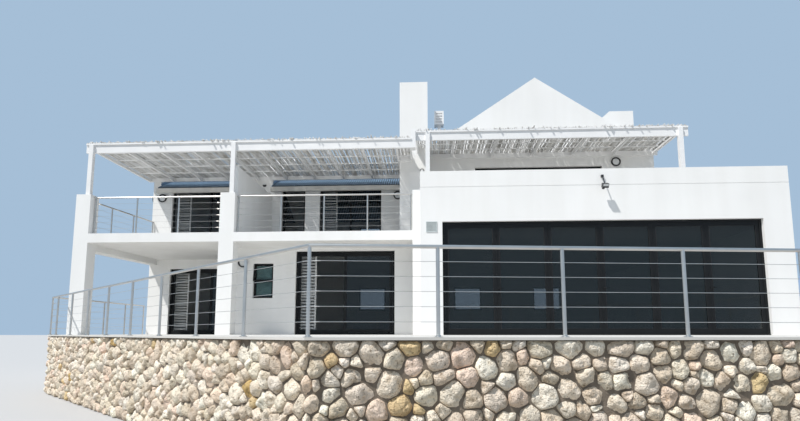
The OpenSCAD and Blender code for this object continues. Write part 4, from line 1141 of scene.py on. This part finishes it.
def folding_door():
    """Hinges, lever handles, seals and a ribbed sill."""
    lo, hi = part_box("folding_door_leaves")
    left, clear, leaves = 0.58, 7.16, 6
    leaf_w, gap, hinge_in = clear / leaves, 0.002, 0.28
    y = lo.y
    build, seal = Build(), Build()
    for k in range(leaves):
        joint = left + k * leaf_w
        gasket(seal, joint + gap + STILE, joint + leaf_w - gap - STILE, lo.z + STILE, hi.z - STILE, y,
               0.009, 0.003)
        if k:
            for z in (lo.z + hinge_in, (lo.z + hi.z) / 2, hi.z - hinge_in):
                hinge(build, joint, y, z)
    for k in (1, 3, 5):
        x, z = left + k * leaf_w + gap + 0.037, FLOOR + 1.02
        build.box((x - 0.014, y - 0.006, z - 0.11), (x + 0.014, y + 0.001, z + 0.11), 0.003)
        grip = z + 0.05
        build.tube([(x, y - 0.004, grip), (x, y - 0.045, grip), (x + 0.012, y - 0.052, grip),
                    (x + 0.11, y - 0.052, grip - 0.002)], [0.008, 0.008, 0.008, 0.007], 10)
    lo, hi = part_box("folding_door_frame")
    sill = lo.z + 0.018
    build.box((lo.x, lo.y - 0.02, lo.z), (hi.x, lo.y, sill), 0.003)
    for k in range(3):
        y = lo.y - 0.004 - k * 0.005
        build.box((lo.x + 0.01, y - 0.001, sill), (hi.x - 0.01, y + 0.001, sill + 0.003), 0.0005)
    build.piece("folding_door_fittings", "charcoal_frame", [MAT["charcoal_frame"]], angle=35)
    seal.piece("folding_door_seals", "charcoal_frame", [MAT["gasket"]])


def sliding_leaf(node, body):
    """Seal and pull of a sliding leaf, which move with it."""
    lo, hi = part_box(node)
    y = lo.y
    build = Build()
    gasket(build, lo.x + STILE, hi.x - STILE, lo.z + 0.0797, hi.z - STILE, y, 0.008, 0.002)
    build.piece(node + "_seal", "charcoal_frame", [MAT["gasket"]], body=body)
    build = Build()
    x, z = hi.x - 0.037, FLOOR + 1.0
    build.box((x - 0.015, y - 0.003, z - 0.12), (x + 0.015, y + 0.001, z + 0.12), 0.001)
    build.tube([(x, y - 0.001, z - 0.08), (x, y - 0.03, z - 0.075), (x, y - 0.034, z - 0.06),
                (x, y - 0.034, z + 0.06), (x, y - 0.03, z + 0.075), (x, y - 0.001, z + 0.08)],
               [0.006] * 6, 10)
    build.piece(node + "_pull", "charcoal_frame", [MAT["charcoal_frame"]], body=body)


def window_film():
    """Obscured film behind the small window's pane."""
    left, sill, wide, high = ROOM_LEFT + 0.59, FLOOR + 1.05, 0.59, 1.01
    edge, y = 0.02, ROOM_FRONT + 0.15
    build = Build()
    build.box((left + edge, y, sill + edge), (left + wide - edge, y + 0.004, sill + high - edge))
    build.piece("small_window_film", "door_glass", [MAT["obscured_glass"]])


folding_door()
sliding_leaf("middle_door_leaf", "middle_leaf")
sliding_leaf("patio_door_leaf", "patio_leaf")
window_film()


# Stage, light and camera

def stage():
    mesh = bpy.data.meshes.new("floor")
    reach = 400
    corners = [(-reach, -reach, 0), (reach, -reach, 0), (reach, reach, 0), (-reach, reach, 0)]
    mesh.from_pydata(corners, [], [(0, 1, 2, 3)])
    floor = bpy.data.objects.new("floor", mesh)
    scene.collection.objects.link(floor)
    s = Shader("floor", 0.95)
    mesh.materials.append(s.done(s.shown_colour((0.36, 0.35, 0.325), (0.5, 0.5, 0.5))))


def light():
    sun = bpy.data.lights.new("sun", "SUN")
    sun.energy = 4.12
    sun.angle = math.radians(1.2)
    sun.color = (1.0, 0.975, 0.94)
    obj = bpy.data.objects.new("sun", sun)
    scene.collection.objects.link(obj)
    azimuth, height = math.radians(-50), math.radians(55)
    to_sun = Vector((math.sin(azimuth) * math.cos(height), -math.cos(azimuth) * math.cos(height),
                     math.sin(height)))
    obj.rotation_euler = to_sun.to_track_quat("Z", "Y").to_euler()
    world = bpy.data.worlds.new("world")
    scene.world = world
    world.use_nodes = True
    nodes = Nodes(world.node_tree)
    background = nodes.tree.nodes["Background"]
    background.inputs["Strength"].default_value = 1.0
    sky = nodes.shown_colour((0.37, 0.45, 0.55), (0.38, 0.52, 0.68))
    nodes.tree.links.new(sky, background.inputs["Color"])


def camera():
    data = bpy.data.cameras.new("camera")
    obj = bpy.data.objects.new("camera", data)
    scene.collection.objects.link(obj)
    scene.camera = obj
    focal_px, width_px = 533, 800
    pitch, turn = 7.12, 2.99
    data.sensor_width = 36
    data.lens = focal_px / width_px * data.sensor_width
    data.shift_y = 0.07
    data.clip_start = 0.1
    data.clip_end = 1000
    obj.location = (0.17, -14.0, 1.545)
    obj.rotation_euler = (math.radians(90 + pitch), 0, math.radians(turn))


stage()
light()
camera()
scene.view_settings.view_transform = "Standard"
